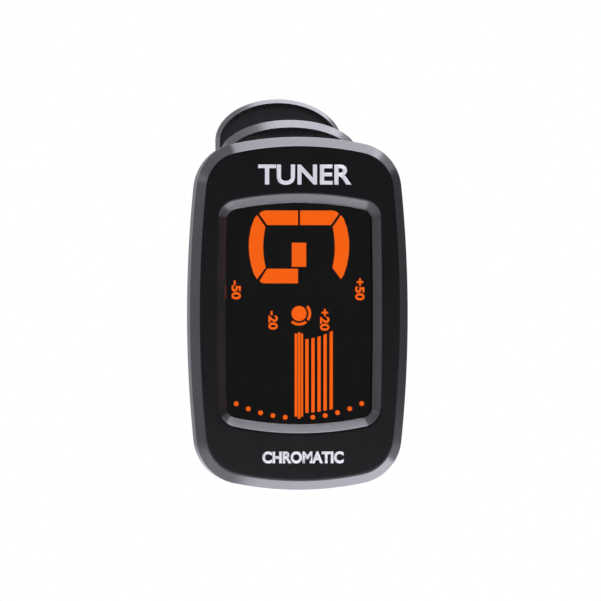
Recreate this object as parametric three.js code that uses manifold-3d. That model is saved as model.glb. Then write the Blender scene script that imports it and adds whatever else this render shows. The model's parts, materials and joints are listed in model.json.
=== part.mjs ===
// Clip-on instrument tuner: a display head that swivels and tilts on a sprung clip.
// Units are millimetres. +X is to the reader's right, +Y points away from the reader, +Z is up.
// The origin is the centre of the front jaw's grip face; the display looks along -Y.
import * as THREE from "three";
import { mergeVertices } from "three/addons/utils/BufferGeometryUtils.js";
import Module from "manifold-3d";

const wasm = await Module();
wasm.setup();

// ---------------------------------------------------------------- driving dimensions

const GAP = 0.3; // clearance between neighbouring pieces
const RUNNING = 0.08; // radial clearance of a pin in its bore
const LAP = 0.2; // how far joined shapes reach into each other
const FAR = 60; // past the whole object on every side

// Head outline: four bowed sides joined by corner arcs.
const HEAD_HALF_W = 17.3;
const HEAD_HALF_H = 27.9;
const SIDE_R = 200;
const TOP_R = 50;
const CORNER_R = 7.5;
const HEAD_T = 13; // face to back
const FRONT_T = 6.5; // depth of the front cover
const WALL = 1.4;
const FACE_T = 1.7; // thickness of the front cover's face
const RIM_CHAMFER = 1.5;
const REAR_INSET = 0.4; // the rear cover is this much smaller all round
const REAR_CHAMFER = 1.5;
const LIP_STEP = 0.5; // the lip that closes the seam stands this far inside the rear cover's side
const LIP_PLAY = 0.05; // between the lip and the front cover

// Window in the face, and the lens that fills it.
const WINDOW_HALF_W = 11.7;
const WINDOW_HALF_H = 17.5;
const WINDOW_SIDE_R = 650;
const WINDOW_TOP_R = 50;
const WINDOW_CORNER_R = 1.7;
const WINDOW_BEVEL = 1.4; // width and depth of the sloping band; the lens lies at its foot
const LENS_BACK = 2.9; // behind the face
const LENS_FLANGE = 0.4; // how far the lens's flange reaches behind the face

// Display, behind the lens. Depths are behind the head's face.
const PANEL_FRONT = 3.2;
const PANEL_T = 1.6;
const GLASS_T = 0.8; // each of the panel's two glasses
const PANEL_HALF_W = 12;
const PANEL_HALF_H = 18.3;
const REAR_GLASS_FOOT = 15.6; // below the head's centre
const GUIDE_FRONT = 5.1;
const GUIDE_T = 1.4;
const GUIDE_HALF_W = 11.8;
const GUIDE_LOW = -15;
const GUIDE_HIGH = 16.5;
const LED_HALF_W = 2;
const LED_LOW = 15.5;
const LED_HIGH = 16.7;
const STRIP_HALF_W = 10.5;
const STRIP_LOW = -17.9;
const STRIP_HIGH = -16.1;

// Circuit board and what sits on its back.
const BOARD_FRONT = 6.9;
const BOARD_T = 0.8;
const BOARD_HALF_W = 14.4;
const BOARD_HALF_H = 23.6;
const BOARD_CORNER_R = 3;
const CHIP_HALF = 3.5;
const CHIP_T = 1;
const CHIP_Z = -4; // from the head's centre
const CRYSTAL_R = 0.75;
const CRYSTAL_Z = -2.6;
const PICKUP_Z = -14.5;
const PICKUP_R = 4.5;
const LEAD_R = 0.3;

// Coin cell and its sliding door.
const CELL_R = 10;
const CELL_T = 3.2;
const CELL_FRONT = 8.3;
const CELL_Z = 15;
const DOOR_LOW = 3.2; // the door's lower edge, above the head's centre
const DOOR_HALF_W = 10.2;
const DOOR_FRONT = 11.8;
const TONGUE_HALF_W = 10.9; // the door's tongue runs in grooves of the cover
const TONGUE_T = 0.5;

// Case screws, by their places from the head's centre.
const SCREW_R = 0.8;
const SCREW_HEAD_R = 1.3;
const SCREW_HEAD_T = 0.85;
const SCREW_SUNK = 0.2; // the heads lie this far below the back
const BOSS_R = 1.5;
const SCREWS = [
  { name: "case_screw_upper_left", x: -13.8, z: 8 },
  { name: "case_screw_upper_right", x: 13.8, z: 8 },
  { name: "case_screw_lower_left", x: -11.4, z: -21.6 },
  { name: "case_screw_lower_right", x: 11.4, z: -21.6 },
];

// Power button on the head's right-hand side.
const BUTTON_Z = -6;
const BUTTON_DEPTH = 9.3; // behind the face
const BUTTON_HALF_L = 4;
const BUTTON_HALF_W = 1.2;
const BUTTON_PROUD = 0.25;
const STEM_END = 14.1; // inner end of the button's stem
const SWITCH_END = 13.7; // outer end of the switch's plunger

// Clip: two levers on a pin, with a pad on each jaw.
const JAW_T = 3.1; // thickness of the jaw plates
const PAD_T = 2.2;
const PAD_GAP = 2.1; // between the pads at rest, where the jaws' own stop holds them
const PAD_HALF_W = 7;
const PAD_HALF_H = 7.5;
const PAD_BEVEL = 0.5;
const GROOVE_ROWS = [3, 4.5, 6]; // the pads' grooves, above and below their centre
const GROOVE_HALF_H = 0.3;
const GROOVE_DEPTH = 0.4;
const JAW_LOW = -9.5; // lowest point of both jaws
const JAW_HALF_W = 8.5;
const JAW_CORNER = 3;
const NECK_LOW = 16; // the jaw's width changes to the lever's between these heights
const NECK_HIGH = 23;
const LEVER_T = 2.3;
const FRONT_HALF_W = 11;
const FRONT_TIP_Y = -14.6; // outer face of the front finger tip
const FRONT_TIP_Z = 48.2;
const FRONT_TIP_ROUND = 5.4; // height of the finger end's half ellipse
const REAR_HALF_W = 10.25;
const REAR_TIP_Y = 8.6;
const REAR_TIP_Z = 52;
const REAR_TIP_ROUND = 6.9;
const DISH_RIM = 0.9; // width of the rim round the rear finger end's dish
const PIVOT_Y = -2.2;
const PIVOT_Z = 28;
const PIN_R = 1.4;
const EAR_R = 3.2;
const FRONT_EAR_IN = 7.8; // the front lever's ears lie outside the rear lever's
const REAR_EAR_IN = 5.3;
const REAR_EAR_OUT = 7.5;

// Torsion spring round the hinge pin.
const WIRE_R = 0.5;
const COIL_R = 2.5;
const COIL_TURNS = 4;
const COIL_PITCH = 1.35;
const COIL_HALF_L = (COIL_TURNS * COIL_PITCH) / 2;
const FRONT_LEG_L = 13;
const FRONT_LEG_TURN = Math.PI * 1.105; // angle round the pin where the front leg leaves the coil
const REAR_LEG_LEAN = 2.2; // the rear leg's tip stands this far behind its foot
const REAR_LEG_H = 10;

// Swivel and tilt joint between clip and head.
const SWIVEL_Z = -2;
const DISC_R = 6.2;
const DISC_T = 2.4;
const HUB_R = 2;
const SWIVEL_SCREW_R = 1;
const SWIVEL_HEAD_R = 2.4;
const SWIVEL_HEAD_T = 0.9;
const SWIVEL_WASHER_R = 3.2;
const SWIVEL_WASHER_T = 0.4;
const TILT_Z = -6.5;
const TILT_STANDOFF = 3.3; // tilt axis to the turntable's face
const KNUCKLE_R = 2.6;
const LUG_HALF_W = 2.2;
const WASHER_T = 0.5;
const WASHER_PLAY = 0.15; // each side of a tilt washer
const EAR_T = 2.6;
const GUSSET_H = 3.4;
const TILT_PIN_R = 1;
const HEAD_CLEARANCE = 3.4; // tilt axis to the head's back
const TIP_ABOVE_HEAD = 3; // the front finger tip stands this far above the head

// Places that follow from them.
const FRONT_JAW_IN = -PAD_T - GAP;
const FRONT_JAW_OUT = FRONT_JAW_IN - JAW_T;
const REAR_JAW_IN = PAD_GAP + PAD_T + GAP;
const REAR_JAW_OUT = REAR_JAW_IN + JAW_T;
const SCREW_SEAT = FRONT_JAW_OUT + 1.2; // the web of the jaw that the swivel screw clamps
const DISC_BACK = FRONT_JAW_OUT - GAP;
const DISC_FRONT = DISC_BACK - DISC_T;
const TILT_Y = DISC_FRONT - TILT_STANDOFF;
const HEAD_BACK = TILT_Y - HEAD_CLEARANCE;
const HEAD_FACE = HEAD_BACK - HEAD_T;
const HEAD_Z = FRONT_TIP_Z - TIP_ABOVE_HEAD - HEAD_HALF_H;
const BOARD_BACK = BOARD_FRONT + BOARD_T;

// The levers' outer faces as (y, z), from the jaw up to the finger end. The front lever leans
// forward. The rear one bows out round the throat, comes in at the pivot and leans back.
const FRONT_LINE = [
  [FRONT_JAW_OUT, 8],
  [FRONT_JAW_OUT, 13],
  [-7.2, 21],
  [-9.6, 30],
  [-12.4, 41],
  [FRONT_TIP_Y, FRONT_TIP_Z + 1],
];
const REAR_LINE = [
  [REAR_JAW_OUT, 7],
  [REAR_JAW_OUT + 1.4, 12],
  [REAR_JAW_OUT + 0.8, 18],
  [5.2, 24],
  [4.3, 30],
  [6, 40],
  [REAR_TIP_Y, REAR_TIP_Z + 1],
];
// The floor of the dish in the rear finger end's inner face.
const DISH_LINE = [
  [3.8, 37],
  [4.8, 43],
  [7, REAR_TIP_Z + 2],
];

// ---------------------------------------------------------------- materials

const colours = {
  case: { color: 0x1b1b1e, roughness: 0.25, metalness: 0 },
  lens: { color: 0x0a0a0b, roughness: 0.05, metalness: 0 },
  panel: { color: 0x101012, roughness: 0.3, metalness: 0 },
  guide: { color: 0xff6602, roughness: 0.3, metalness: 0 },
  board: { color: 0x14452a, roughness: 0.5, metalness: 0 },
  chip: { color: 0x151515, roughness: 0.6, metalness: 0 },
  contact: { color: 0xc9a24a, roughness: 0.3, metalness: 1 },
  steel: { color: 0xb9bcc0, roughness: 0.3, metalness: 1 },
  piezo: { color: 0xc8a050, roughness: 0.35, metalness: 1 },
  rubber: { color: 0x202022, roughness: 0.85, metalness: 0 },
  clip: { color: 0x232326, roughness: 0.4, metalness: 0 },
  wireRed: { color: 0xa01818, roughness: 0.6, metalness: 0 },
  wireBlack: { color: 0x18181a, roughness: 0.6, metalness: 0 },
  nylon: { color: 0xd8d6cc, roughness: 0.6, metalness: 0 },
};

// ---------------------------------------------------------------- solids

// A three.js geometry as a manifold-3d solid, after a change of place.
function solid(geometry, matrix = new THREE.Matrix4()) {
  const g = geometry.clone().applyMatrix4(matrix);
  g.deleteAttribute("normal");
  g.deleteAttribute("uv");
  const merged = mergeVertices(g, 1e-4);
  return new wasm.Manifold(
    new wasm.Mesh({
      numProp: 3,
      vertProperties: merged.attributes.position.array,
      triVerts: new Uint32Array(merged.index.array),
    }),
  );
}

// A manifold-3d solid as a named three.js mesh.
function piece(name, made, colour) {
  const mesh = made.getMesh();
  const g = new THREE.BufferGeometry();
  g.setAttribute("position", new THREE.BufferAttribute(mesh.vertProperties, 3));
  g.setIndex(new THREE.BufferAttribute(mesh.triVerts, 1));
  g.computeVertexNormals();
  const out = new THREE.Mesh(g, new THREE.MeshStandardMaterial(colours[colour]));
  out.name = name;
  return out;
}

// A box from its low and high corners.
function box(x0, x1, y0, y1, z0, z1) {
  const g = new THREE.BoxGeometry(x1 - x0, y1 - y0, z1 - z0);
  return solid(g, new THREE.Matrix4().makeTranslation((x0 + x1) / 2, (y0 + y1) / 2, (z0 + z1) / 2));
}

// A round bar of radius r along X or Y, from a to b, at its other two coordinates.
function barX(r, a, b, y, z, sides = 24) {
  const g = new THREE.CylinderGeometry(r, r, b - a, sides).rotateZ(-Math.PI / 2);
  return solid(g, new THREE.Matrix4().makeTranslation((a + b) / 2, y, z));
}

function barY(r, a, b, x, z, sides = 24) {
  const g = new THREE.CylinderGeometry(r, r, b - a, sides);
  return solid(g, new THREE.Matrix4().makeTranslation(x, (a + b) / 2, z));
}

// An outline in X and Z, extruded along Y from y0 to y1. An optional bevel slopes both ends.
function slabY(points, y0, y1, bevel = 0) {
  const g = new THREE.ExtrudeGeometry(new THREE.Shape(points), {
    depth: y1 - y0 - 2 * bevel,
    bevelEnabled: bevel > 0,
    bevelThickness: bevel,
    bevelSize: bevel,
    bevelOffset: -bevel,
    bevelSegments: 1,
    steps: 1,
  });
  g.rotateX(Math.PI / 2); // local z becomes -Y, local y becomes Z
  return solid(g, new THREE.Matrix4().makeTranslation(0, y1 - bevel, 0));
}

// A profile in Y and Z, extruded along X from x0 to x1.
function slabX(points, x0, x1) {
  const shape = new THREE.Shape(points.map((p) => new THREE.Vector2(-p.y, p.x)));
  const g = new THREE.ExtrudeGeometry(shape, { depth: x1 - x0, bevelEnabled: false, steps: 1 });
  g.rotateY(Math.PI / 2); // local z becomes X, local x becomes -Z
  return solid(g, new THREE.Matrix4().makeTranslation(x0, 0, 0));
}

// ---------------------------------------------------------------- outlines

// A rectangle with bowed sides: a side arc, a corner arc and an end arc in each quarter.
function bowedOutline(halfW, halfH, sideR, topR, cornerR) {
  const side = new THREE.Vector2(halfW - sideR, 0);
  const top = new THREE.Vector2(0, halfH - topR);
  const a = sideR - cornerR;
  const b = topR - cornerR;
  const between = top.clone().sub(side);
  const d = between.length();
  const along = (a * a - b * b + d * d) / (2 * d);
  const across = Math.sqrt(a * a - along * along);
  const dir = between.clone().normalize();
  const corner = side.clone().addScaledVector(dir, along);
  corner.add(new THREE.Vector2(-dir.y, dir.x).multiplyScalar(across));
  const start = corner.clone().sub(side).angle();
  const end = corner.clone().sub(top).angle();
  const quarter = [];
  const arc = (centre, r, from, to, steps) => {
    for (let i = 0; i <= steps; i++) {
      const t = from + ((to - from) * i) / steps;
      quarter.push(new THREE.Vector2(centre.x + r * Math.cos(t), centre.y + r * Math.sin(t)));
    }
  };
  arc(side, sideR, 0, start, 4);
  quarter.pop();
  arc(corner, cornerR, start, end, 7);
  quarter.pop();
  arc(top, topR, end, Math.PI / 2, 4);
  const flip = (sx, sz) => quarter.map((p) => new THREE.Vector2(p.x * sx, p.y * sz));
  return [
    ...quarter,
    ...flip(-1, 1).reverse().slice(1),
    ...flip(-1, -1).slice(1),
    ...flip(1, -1).reverse().slice(1, -1),
  ];
}

const raised = (points, x, z) => points.map((p) => new THREE.Vector2(p.x + x, p.y + z));

// The head's outline made smaller all round by inset.
function headOutline(inset) {
  const ring = bowedOutline(
    HEAD_HALF_W - inset,
    HEAD_HALF_H - inset,
    SIDE_R - inset,
    TOP_R - inset,
    Math.max(CORNER_R - inset, 1),
  );
  return raised(ring, 0, HEAD_Z);
}

// The window's outline made larger all round by grow.
function windowOutline(grow) {
  const ring = bowedOutline(
    WINDOW_HALF_W + grow,
    WINDOW_HALF_H + grow,
    WINDOW_SIDE_R + grow,
    WINDOW_TOP_R + grow,
    WINDOW_CORNER_R + grow,
  );
  return raised(ring, 0, HEAD_Z);
}

const depth = (d) => HEAD_FACE + d; // a depth behind the head's face, as a Y
const up = (z) => HEAD_Z + z; // a height above the head's centre, as a Z

// ---------------------------------------------------------------- head

// A cover's outer form: a bevelled slab with the unbevelled end's own bevel cut away.
function tubForm(inset, y0, y1, bevel, bevelAtFront) {
  const extra = 2 * bevel;
  const start = bevelAtFront ? y0 : y0 - extra;
  const end = bevelAtFront ? y1 + extra : y1;
  return slabY(headOutline(inset), start, end, bevel).intersect(box(-FAR, FAR, y0, y1, -FAR, FAR));
}

// The sloping band of the window: wide at the face, down to the opening's own size.
function windowBand() {
  return slabY(windowOutline(WINDOW_BEVEL), depth(-3 * WINDOW_BEVEL), depth(WINDOW_BEVEL), WINDOW_BEVEL);
}

function frontCover() {
  const pilotEnd = FACE_T + 1.2;
  let body = tubForm(0, depth(0), depth(FRONT_T), RIM_CHAMFER, true);
  body = body.subtract(slabY(headOutline(WALL), depth(FACE_T), depth(FRONT_T + 1)));
  body = body.subtract(windowBand());
  body = body.subtract(slabY(windowOutline(0), depth(LAP), depth(FACE_T + 1)));
  for (const s of SCREWS) {
    body = body.add(barY(BOSS_R, depth(FACE_T - LAP), depth(FRONT_T - LAP), s.x, up(s.z)));
    body = body.subtract(barY(SCREW_R + RUNNING, depth(pilotEnd), depth(FRONT_T + 1), s.x, up(s.z)));
  }
  return body;
}

function displayLens() {
  const front = slabY(windowOutline(-GAP / 2), depth(WINDOW_BEVEL), depth(LENS_BACK - LAP));
  const flange = slabY(windowOutline(LENS_FLANGE), depth(FACE_T + 0.2), depth(LENS_BACK));
  return front.add(flange);
}

// Two glasses; the rear one is smaller, and short at the foot, where the contact strip meets the
// front one.
function displayPanel() {
  const middle = depth(PANEL_FRONT + GLASS_T);
  const w = PANEL_HALF_W;
  const front = box(-w, w, depth(PANEL_FRONT), middle, up(-PANEL_HALF_H), up(PANEL_HALF_H));
  const rearW = w - 0.1;
  const rearTop = up(PANEL_HALF_H - 0.1);
  const back = depth(PANEL_FRONT + PANEL_T);
  return front.add(box(-rearW, rearW, middle - LAP, back, up(-REAR_GLASS_FOOT), rearTop));
}

// The light guide has a pocket in its upper edge for the LED.
function lightGuide() {
  const w = GUIDE_HALF_W;
  const pocket = LED_HALF_W + GAP;
  const back = depth(GUIDE_FRONT + GUIDE_T);
  const plate = box(-w, w, depth(GUIDE_FRONT), back, up(GUIDE_LOW), up(GUIDE_HIGH));
  return plate.subtract(box(-pocket, pocket, -FAR, FAR, up(LED_LOW - GAP), FAR));
}

function backlightLed() {
  const back = depth(GUIDE_FRONT + GUIDE_T);
  return box(-LED_HALF_W, LED_HALF_W, depth(GUIDE_FRONT), back, up(LED_LOW), up(LED_HIGH));
}

function contactStrip() {
  const front = depth(PANEL_FRONT + GLASS_T + GAP);
  const back = depth(BOARD_FRONT - GAP);
  return box(-STRIP_HALF_W, STRIP_HALF_W, front, back, up(STRIP_LOW), up(STRIP_HIGH));
}

function circuitBoard() {
  const ring = bowedOutline(BOARD_HALF_W, BOARD_HALF_H, SIDE_R, TOP_R, BOARD_CORNER_R);
  let board = slabY(raised(ring, 0, HEAD_Z), depth(BOARD_FRONT), depth(BOARD_BACK));
  for (const s of SCREWS) {
    board = board.subtract(barY(BOSS_R + GAP, depth(BOARD_FRONT - 1), depth(BOARD_BACK + 1), s.x, up(s.z)));
  }
  return board;
}

// A square package with the pin-one dimple in its corner.
function controllerChip() {
  const front = depth(BOARD_BACK + GAP);
  const back = front + CHIP_T;
  const body = box(-CHIP_HALF, CHIP_HALF, front, back, up(CHIP_Z - CHIP_HALF), up(CHIP_Z + CHIP_HALF));
  const dimple = CHIP_HALF - 0.9;
  return body.subtract(barY(0.4, back - 0.2, back + 1, -dimple, up(CHIP_Z + dimple), 12));
}

function clockCrystal() {
  const start = CHIP_HALF + 1.1;
  const length = 5.2;
  const y = depth(BOARD_BACK + GAP + CRYSTAL_R);
  return barX(CRYSTAL_R, start, start + length, y, up(CRYSTAL_Z), 12);
}

// A switch whose plunger points at the button's stem.
function buttonSwitch() {
  const y = depth(BUTTON_DEPTH);
  const z = up(BUTTON_Z);
  const bodyEnd = SWITCH_END - 0.5;
  const body = box(bodyEnd - 2.6, bodyEnd, depth(BOARD_BACK + GAP), y + 0.9, z - 2, z + 2);
  return body.add(box(bodyEnd - LAP, SWITCH_END, y - 0.5, y + 0.5, z - 0.9, z + 0.9));
}

// A coin cell, 20 mm across: the smaller cup in front, then the shoulder and the can.
function coinCell() {
  const cup = CELL_R - 1.5;
  const profile = [
    [0, 0],
    [cup, 0],
    [cup + 0.1, 0.4],
    [CELL_R - 0.2, 0.5],
    [CELL_R, 0.8],
    [CELL_R, CELL_T - 0.2],
    [CELL_R - 0.3, CELL_T],
    [0, CELL_T],
  ].map(([r, y]) => new THREE.Vector2(r, y));
  const g = new THREE.LatheGeometry(profile, 40);
  return solid(g, new THREE.Matrix4().makeTranslation(0, depth(CELL_FRONT), up(CELL_Z)));
}

const CONTACT_FRONT = BOARD_BACK + 0.05; // the contacts' feet lie on the board's back

// A leaf spring under the cell's flat negative face.
function negativeContact() {
  const y = depth(CONTACT_FRONT);
  const leaf = box(-5, 5, y, y + 0.2, up(CELL_Z - 1.5), up(CELL_Z + 1.5));
  return leaf.add(box(-1, 1, y, y + 0.2, up(CELL_Z - 9), up(CELL_Z - 1)));
}

// A bent strip that presses on the cell's edge.
function positiveContact() {
  const x0 = -7.5;
  const x1 = -3.5;
  const y = depth(CONTACT_FRONT);
  const z = up(CELL_Z - CELL_R - GAP);
  const foot = box(x0, x1, y, y + 0.3, z - 2.2, z);
  return foot.add(box(x0, x1, y, depth(CELL_FRONT + 2.4), z - 0.3, z));
}

// The door's tee-shaped section: the outer plate, and the wider tongue that runs in the grooves.
function doorForm(grow) {
  const plate = DOOR_HALF_W + grow;
  const tongue = TONGUE_HALF_W + grow;
  const low = up(DOOR_LOW - grow);
  const outer = box(-plate, plate, depth(DOOR_FRONT + LAP), depth(HEAD_T + 1), low, FAR);
  const inner = box(-tongue, tongue, depth(DOOR_FRONT - grow), depth(DOOR_FRONT + TONGUE_T + grow), low, FAR);
  return outer.add(inner);
}

function rearForm() {
  return tubForm(REAR_INSET, depth(FRONT_T + GAP), depth(HEAD_T), REAR_CHAMFER, false);
}

// The door, with five thumb grooves across its lower half.
function batteryDoor() {
  const halfW = 4.5;
  let door = doorForm(0).intersect(rearForm());
  for (let i = 0; i < 5; i++) {
    const z = up(DOOR_LOW + 2.2 + i * 1.3);
    door = door.subtract(box(-halfW, halfW, depth(HEAD_T - 0.35), depth(HEAD_T + 1), z, z + 0.6));
  }
  return door;
}

// The rear cover's seam lip, still solid across the middle.
function seamLip() {
  const end = depth(FRONT_T + GAP + LAP);
  return slabY(headOutline(REAR_INSET + LIP_STEP), depth(FRONT_T + LIP_PLAY), end);
}

function rearCover() {
  const open = depth(HEAD_T + 1);
  let body = rearForm().add(seamLip());
  body = body.subtract(slabY(headOutline(REAR_INSET + WALL), depth(FRONT_T - 1), depth(HEAD_T - WALL)));
  body = body.subtract(doorForm(GAP));
  body = body.subtract(barY(CELL_R + GAP, depth(CELL_FRONT), open, 0, up(CELL_Z), 40));
  for (const s of SCREWS) {
    const well = depth(HEAD_T - SCREW_SUNK - SCREW_HEAD_T - 0.15);
    body = body.add(barY(BOSS_R, depth(BOARD_BACK + GAP), depth(HEAD_T - 1), s.x, up(s.z)));
    body = body.subtract(barY(SCREW_R + GAP / 2, depth(FRONT_T), open, s.x, up(s.z)));
    body = body.subtract(barY(SCREW_HEAD_R + GAP / 2, well, open, s.x, up(s.z)));
  }
  body = body.subtract(buttonHole());
  for (const side of [-1, 1]) body = body.add(hingeEar(side));
  return body.subtract(barX(TILT_PIN_R, -FAR, FAR, TILT_Y, TILT_Z));
}

function buttonHole() {
  const halfW = BUTTON_HALF_W + GAP;
  const halfL = BUTTON_HALF_L + GAP;
  const y = depth(BUTTON_DEPTH);
  return box(STEM_END, FAR, y - halfW, y + halfW, up(BUTTON_Z - halfL), up(BUTTON_Z + halfL));
}

// One of the two ears that carry the tilt pin, with a gusset that runs up the cover's back.
function hingeEar(side) {
  const inner = LUG_HALF_W + WASHER_T + 2 * WASHER_PLAY;
  const x0 = side > 0 ? inner : -inner - EAR_T;
  const x1 = x0 + EAR_T;
  const root = HEAD_BACK - 0.6;
  const round = barX(KNUCKLE_R, x0, x1, TILT_Y, TILT_Z);
  const web = box(x0, x1, root, TILT_Y, TILT_Z - KNUCKLE_R, TILT_Z + KNUCKLE_R);
  const gusset = slabX(
    [
      new THREE.Vector2(root, TILT_Z),
      new THREE.Vector2(TILT_Y, TILT_Z + KNUCKLE_R),
      new THREE.Vector2(root, TILT_Z + KNUCKLE_R + GUSSET_H),
    ],
    x0,
    x1,
  );
  return round.add(web).add(gusset);
}

function tiltPin() {
  const half = LUG_HALF_W + WASHER_T + 2 * WASHER_PLAY + EAR_T - 0.2;
  return barX(TILT_PIN_R - RUNNING, -half, half, TILT_Y, TILT_Z);
}

function tiltWasher(side) {
  const inner = LUG_HALF_W + WASHER_PLAY;
  const x0 = side > 0 ? inner : -inner - WASHER_T;
  const ring = barX(KNUCKLE_R - 0.3, x0, x0 + WASHER_T, TILT_Y, TILT_Z);
  return ring.subtract(barX(TILT_PIN_R + 0.06, -FAR, FAR, TILT_Y, TILT_Z));
}

// The cross recess in a screw's head that faces +Y.
function crossRecess(x, z, top, reach, half) {
  const bottom = top - 0.4;
  const across = box(x - reach, x + reach, bottom, top + 1, z - half, z + half);
  return across.add(box(x - half, x + half, bottom, top + 1, z - reach, z + reach));
}

function caseScrew(s) {
  const z = up(s.z);
  const top = depth(HEAD_T - SCREW_SUNK);
  const shank = barY(SCREW_R, depth(FACE_T + 1.6), top - 0.5, s.x, z, 16);
  const screw = shank.add(barY(SCREW_HEAD_R, top - SCREW_HEAD_T, top, s.x, z, 20));
  return screw.subtract(crossRecess(s.x, z, top, 0.8, 0.16));
}

// A flange keeps the button from falling out, and a stem reaches the switch.
function powerButton() {
  const y = depth(BUTTON_DEPTH);
  const z = up(BUTTON_Z);
  const w = BUTTON_HALF_W;
  const l = BUTTON_HALF_L;
  const wallX = HEAD_HALF_W - REAR_INSET;
  const flangeX = wallX - WALL - 2 * GAP; // the flange's outer side stays clear of the wall
  const cap = box(flangeX - GAP, wallX + BUTTON_PROUD, y - w, y + w, z - l, z + l);
  const flange = box(flangeX - 0.6, flangeX, y - w - 0.25, y + w + 0.7, z - l - 0.7, z + l + 0.7);
  return cap.add(flange).add(box(STEM_END, flangeX - GAP, y - 0.5, y + 0.5, z - 0.8, z + 0.8));
}

const PICKUP_BACK = HEAD_T - WALL - GAP;
const PICKUP_T = 0.25;

// A brass disc with a smaller ceramic disc on its front.
function pickupDisc() {
  const back = depth(PICKUP_BACK);
  const brass = barY(PICKUP_R, back - PICKUP_T, back, 0, up(PICKUP_Z), 32);
  return brass.add(barY(PICKUP_R - 1.3, back - PICKUP_T - 0.2, back - PICKUP_T + 0.05, 0, up(PICKUP_Z), 32));
}

// A thin insulated lead from the pickup disc up to the board.
function pickupLead(x0, x1) {
  const disc = depth(PICKUP_BACK - PICKUP_T);
  const curve = new THREE.CatmullRomCurve3([
    new THREE.Vector3(x0, disc - 0.75, up(PICKUP_Z + 0.6)),
    new THREE.Vector3(x0 * 1.4, disc - 1.1, up(PICKUP_Z + 2)),
    new THREE.Vector3(x1, disc - 1.3, up(PICKUP_Z + 3.9)),
    new THREE.Vector3(x1, disc - 1.9, up(PICKUP_Z + 4.9)),
    new THREE.Vector3(x1, depth(BOARD_BACK + 2 * GAP), up(PICKUP_Z + 5.3)),
  ]);
  return wire(LEAD_R, curve, 14);
}

// A round wire along a curve.
function wire(radius, curve, steps) {
  const circle = new THREE.Shape().absarc(0, 0, radius, 0, Math.PI * 2);
  return solid(new THREE.ExtrudeGeometry(circle, { extrudePath: curve, steps, curveSegments: 4 }));
}

// ---------------------------------------------------------------- swivel

// The turntable: a disc with a hub in the jaw, and an arm that leans down to the tilt axis.
function swivelBase() {
  const root = DISC_FRONT + LAP;
  const arm = slabX(
    [
      new THREE.Vector2(root, SWIVEL_Z - DISC_R + 0.5),
      new THREE.Vector2(root, SWIVEL_Z + 3.5),
      new THREE.Vector2(TILT_Y - 1.7, TILT_Z + 1.9),
      new THREE.Vector2(TILT_Y, TILT_Z - KNUCKLE_R),
    ],
    -LUG_HALF_W,
    LUG_HALF_W,
  );
  const knuckle = barX(KNUCKLE_R, -LUG_HALF_W, LUG_HALF_W, TILT_Y, TILT_Z);
  let body = barY(DISC_R, DISC_FRONT, DISC_BACK, 0, SWIVEL_Z, 40);
  body = body.add(barY(HUB_R, DISC_BACK - LAP, SCREW_SEAT - 0.1, 0, SWIVEL_Z));
  body = body.add(arm).add(knuckle);
  body = body.subtract(barX(TILT_PIN_R, -FAR, FAR, TILT_Y, TILT_Z));
  return body.subtract(barY(SWIVEL_SCREW_R + RUNNING, DISC_FRONT + 1.2, 0, 0, SWIVEL_Z, 20));
}

const WASHER_FRONT = SCREW_SEAT + 0.15;

function swivelWasher() {
  const ring = barY(SWIVEL_WASHER_R, WASHER_FRONT, WASHER_FRONT + SWIVEL_WASHER_T, 0, SWIVEL_Z);
  return ring.subtract(barY(SWIVEL_SCREW_R + GAP, SCREW_SEAT, 0, 0, SWIVEL_Z, 20));
}

function swivelScrew() {
  const seat = WASHER_FRONT + SWIVEL_WASHER_T + 0.15;
  const top = seat + SWIVEL_HEAD_T;
  const shank = barY(SWIVEL_SCREW_R, DISC_FRONT + 1.5, seat + LAP, 0, SWIVEL_Z, 20);
  const screw = shank.add(barY(SWIVEL_HEAD_R, seat, top, 0, SWIVEL_Z));
  return screw.subtract(crossRecess(0, SWIVEL_Z, top, 1.4, 0.2));
}

// ---------------------------------------------------------------- clip

// The levers' outline seen along Y: parallel sides, an elliptical finger end and a rounder jaw end.
function leverOutline(inset, tipZ, round, halfW) {
  const w = halfW - inset;
  const jaw = JAW_HALF_W - inset;
  const low = JAW_LOW + inset;
  const side = JAW_LOW + JAW_CORNER;
  const bend = (NECK_LOW + NECK_HIGH) / 2;
  const shoulder = tipZ - round;
  const shape = new THREE.Shape();
  shape.moveTo(-jaw, side);
  shape.quadraticCurveTo(-jaw, low, -jaw + JAW_CORNER, low);
  shape.lineTo(jaw - JAW_CORNER, low);
  shape.quadraticCurveTo(jaw, low, jaw, side);
  shape.lineTo(jaw, NECK_LOW);
  shape.quadraticCurveTo(jaw, bend, w, NECK_HIGH);
  shape.lineTo(w, shoulder);
  shape.absellipse(0, shoulder, w, round - inset, 0, Math.PI, false, 0);
  shape.lineTo(-w, NECK_HIGH);
  shape.quadraticCurveTo(-jaw, bend, -jaw, NECK_LOW);
  return shape.getPoints(6);
}

// A plate's profile between a smooth line through (y, z) points and the same line moved by t,
// to +Y where t is negative.
function plateProfile(line, t) {
  const curve = new THREE.SplineCurve(line.map(([y, z]) => new THREE.Vector2(y, z)));
  const steps = 22;
  const one = [];
  const other = [];
  for (let i = 0; i <= steps; i++) {
    const p = curve.getPoint(i / steps);
    const d = curve.getTangent(i / steps);
    const n = new THREE.Vector2(-d.y, d.x);
    one.push(p);
    other.push(p.clone().addScaledVector(n, t));
  }
  return [...one, ...other.reverse()];
}

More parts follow.
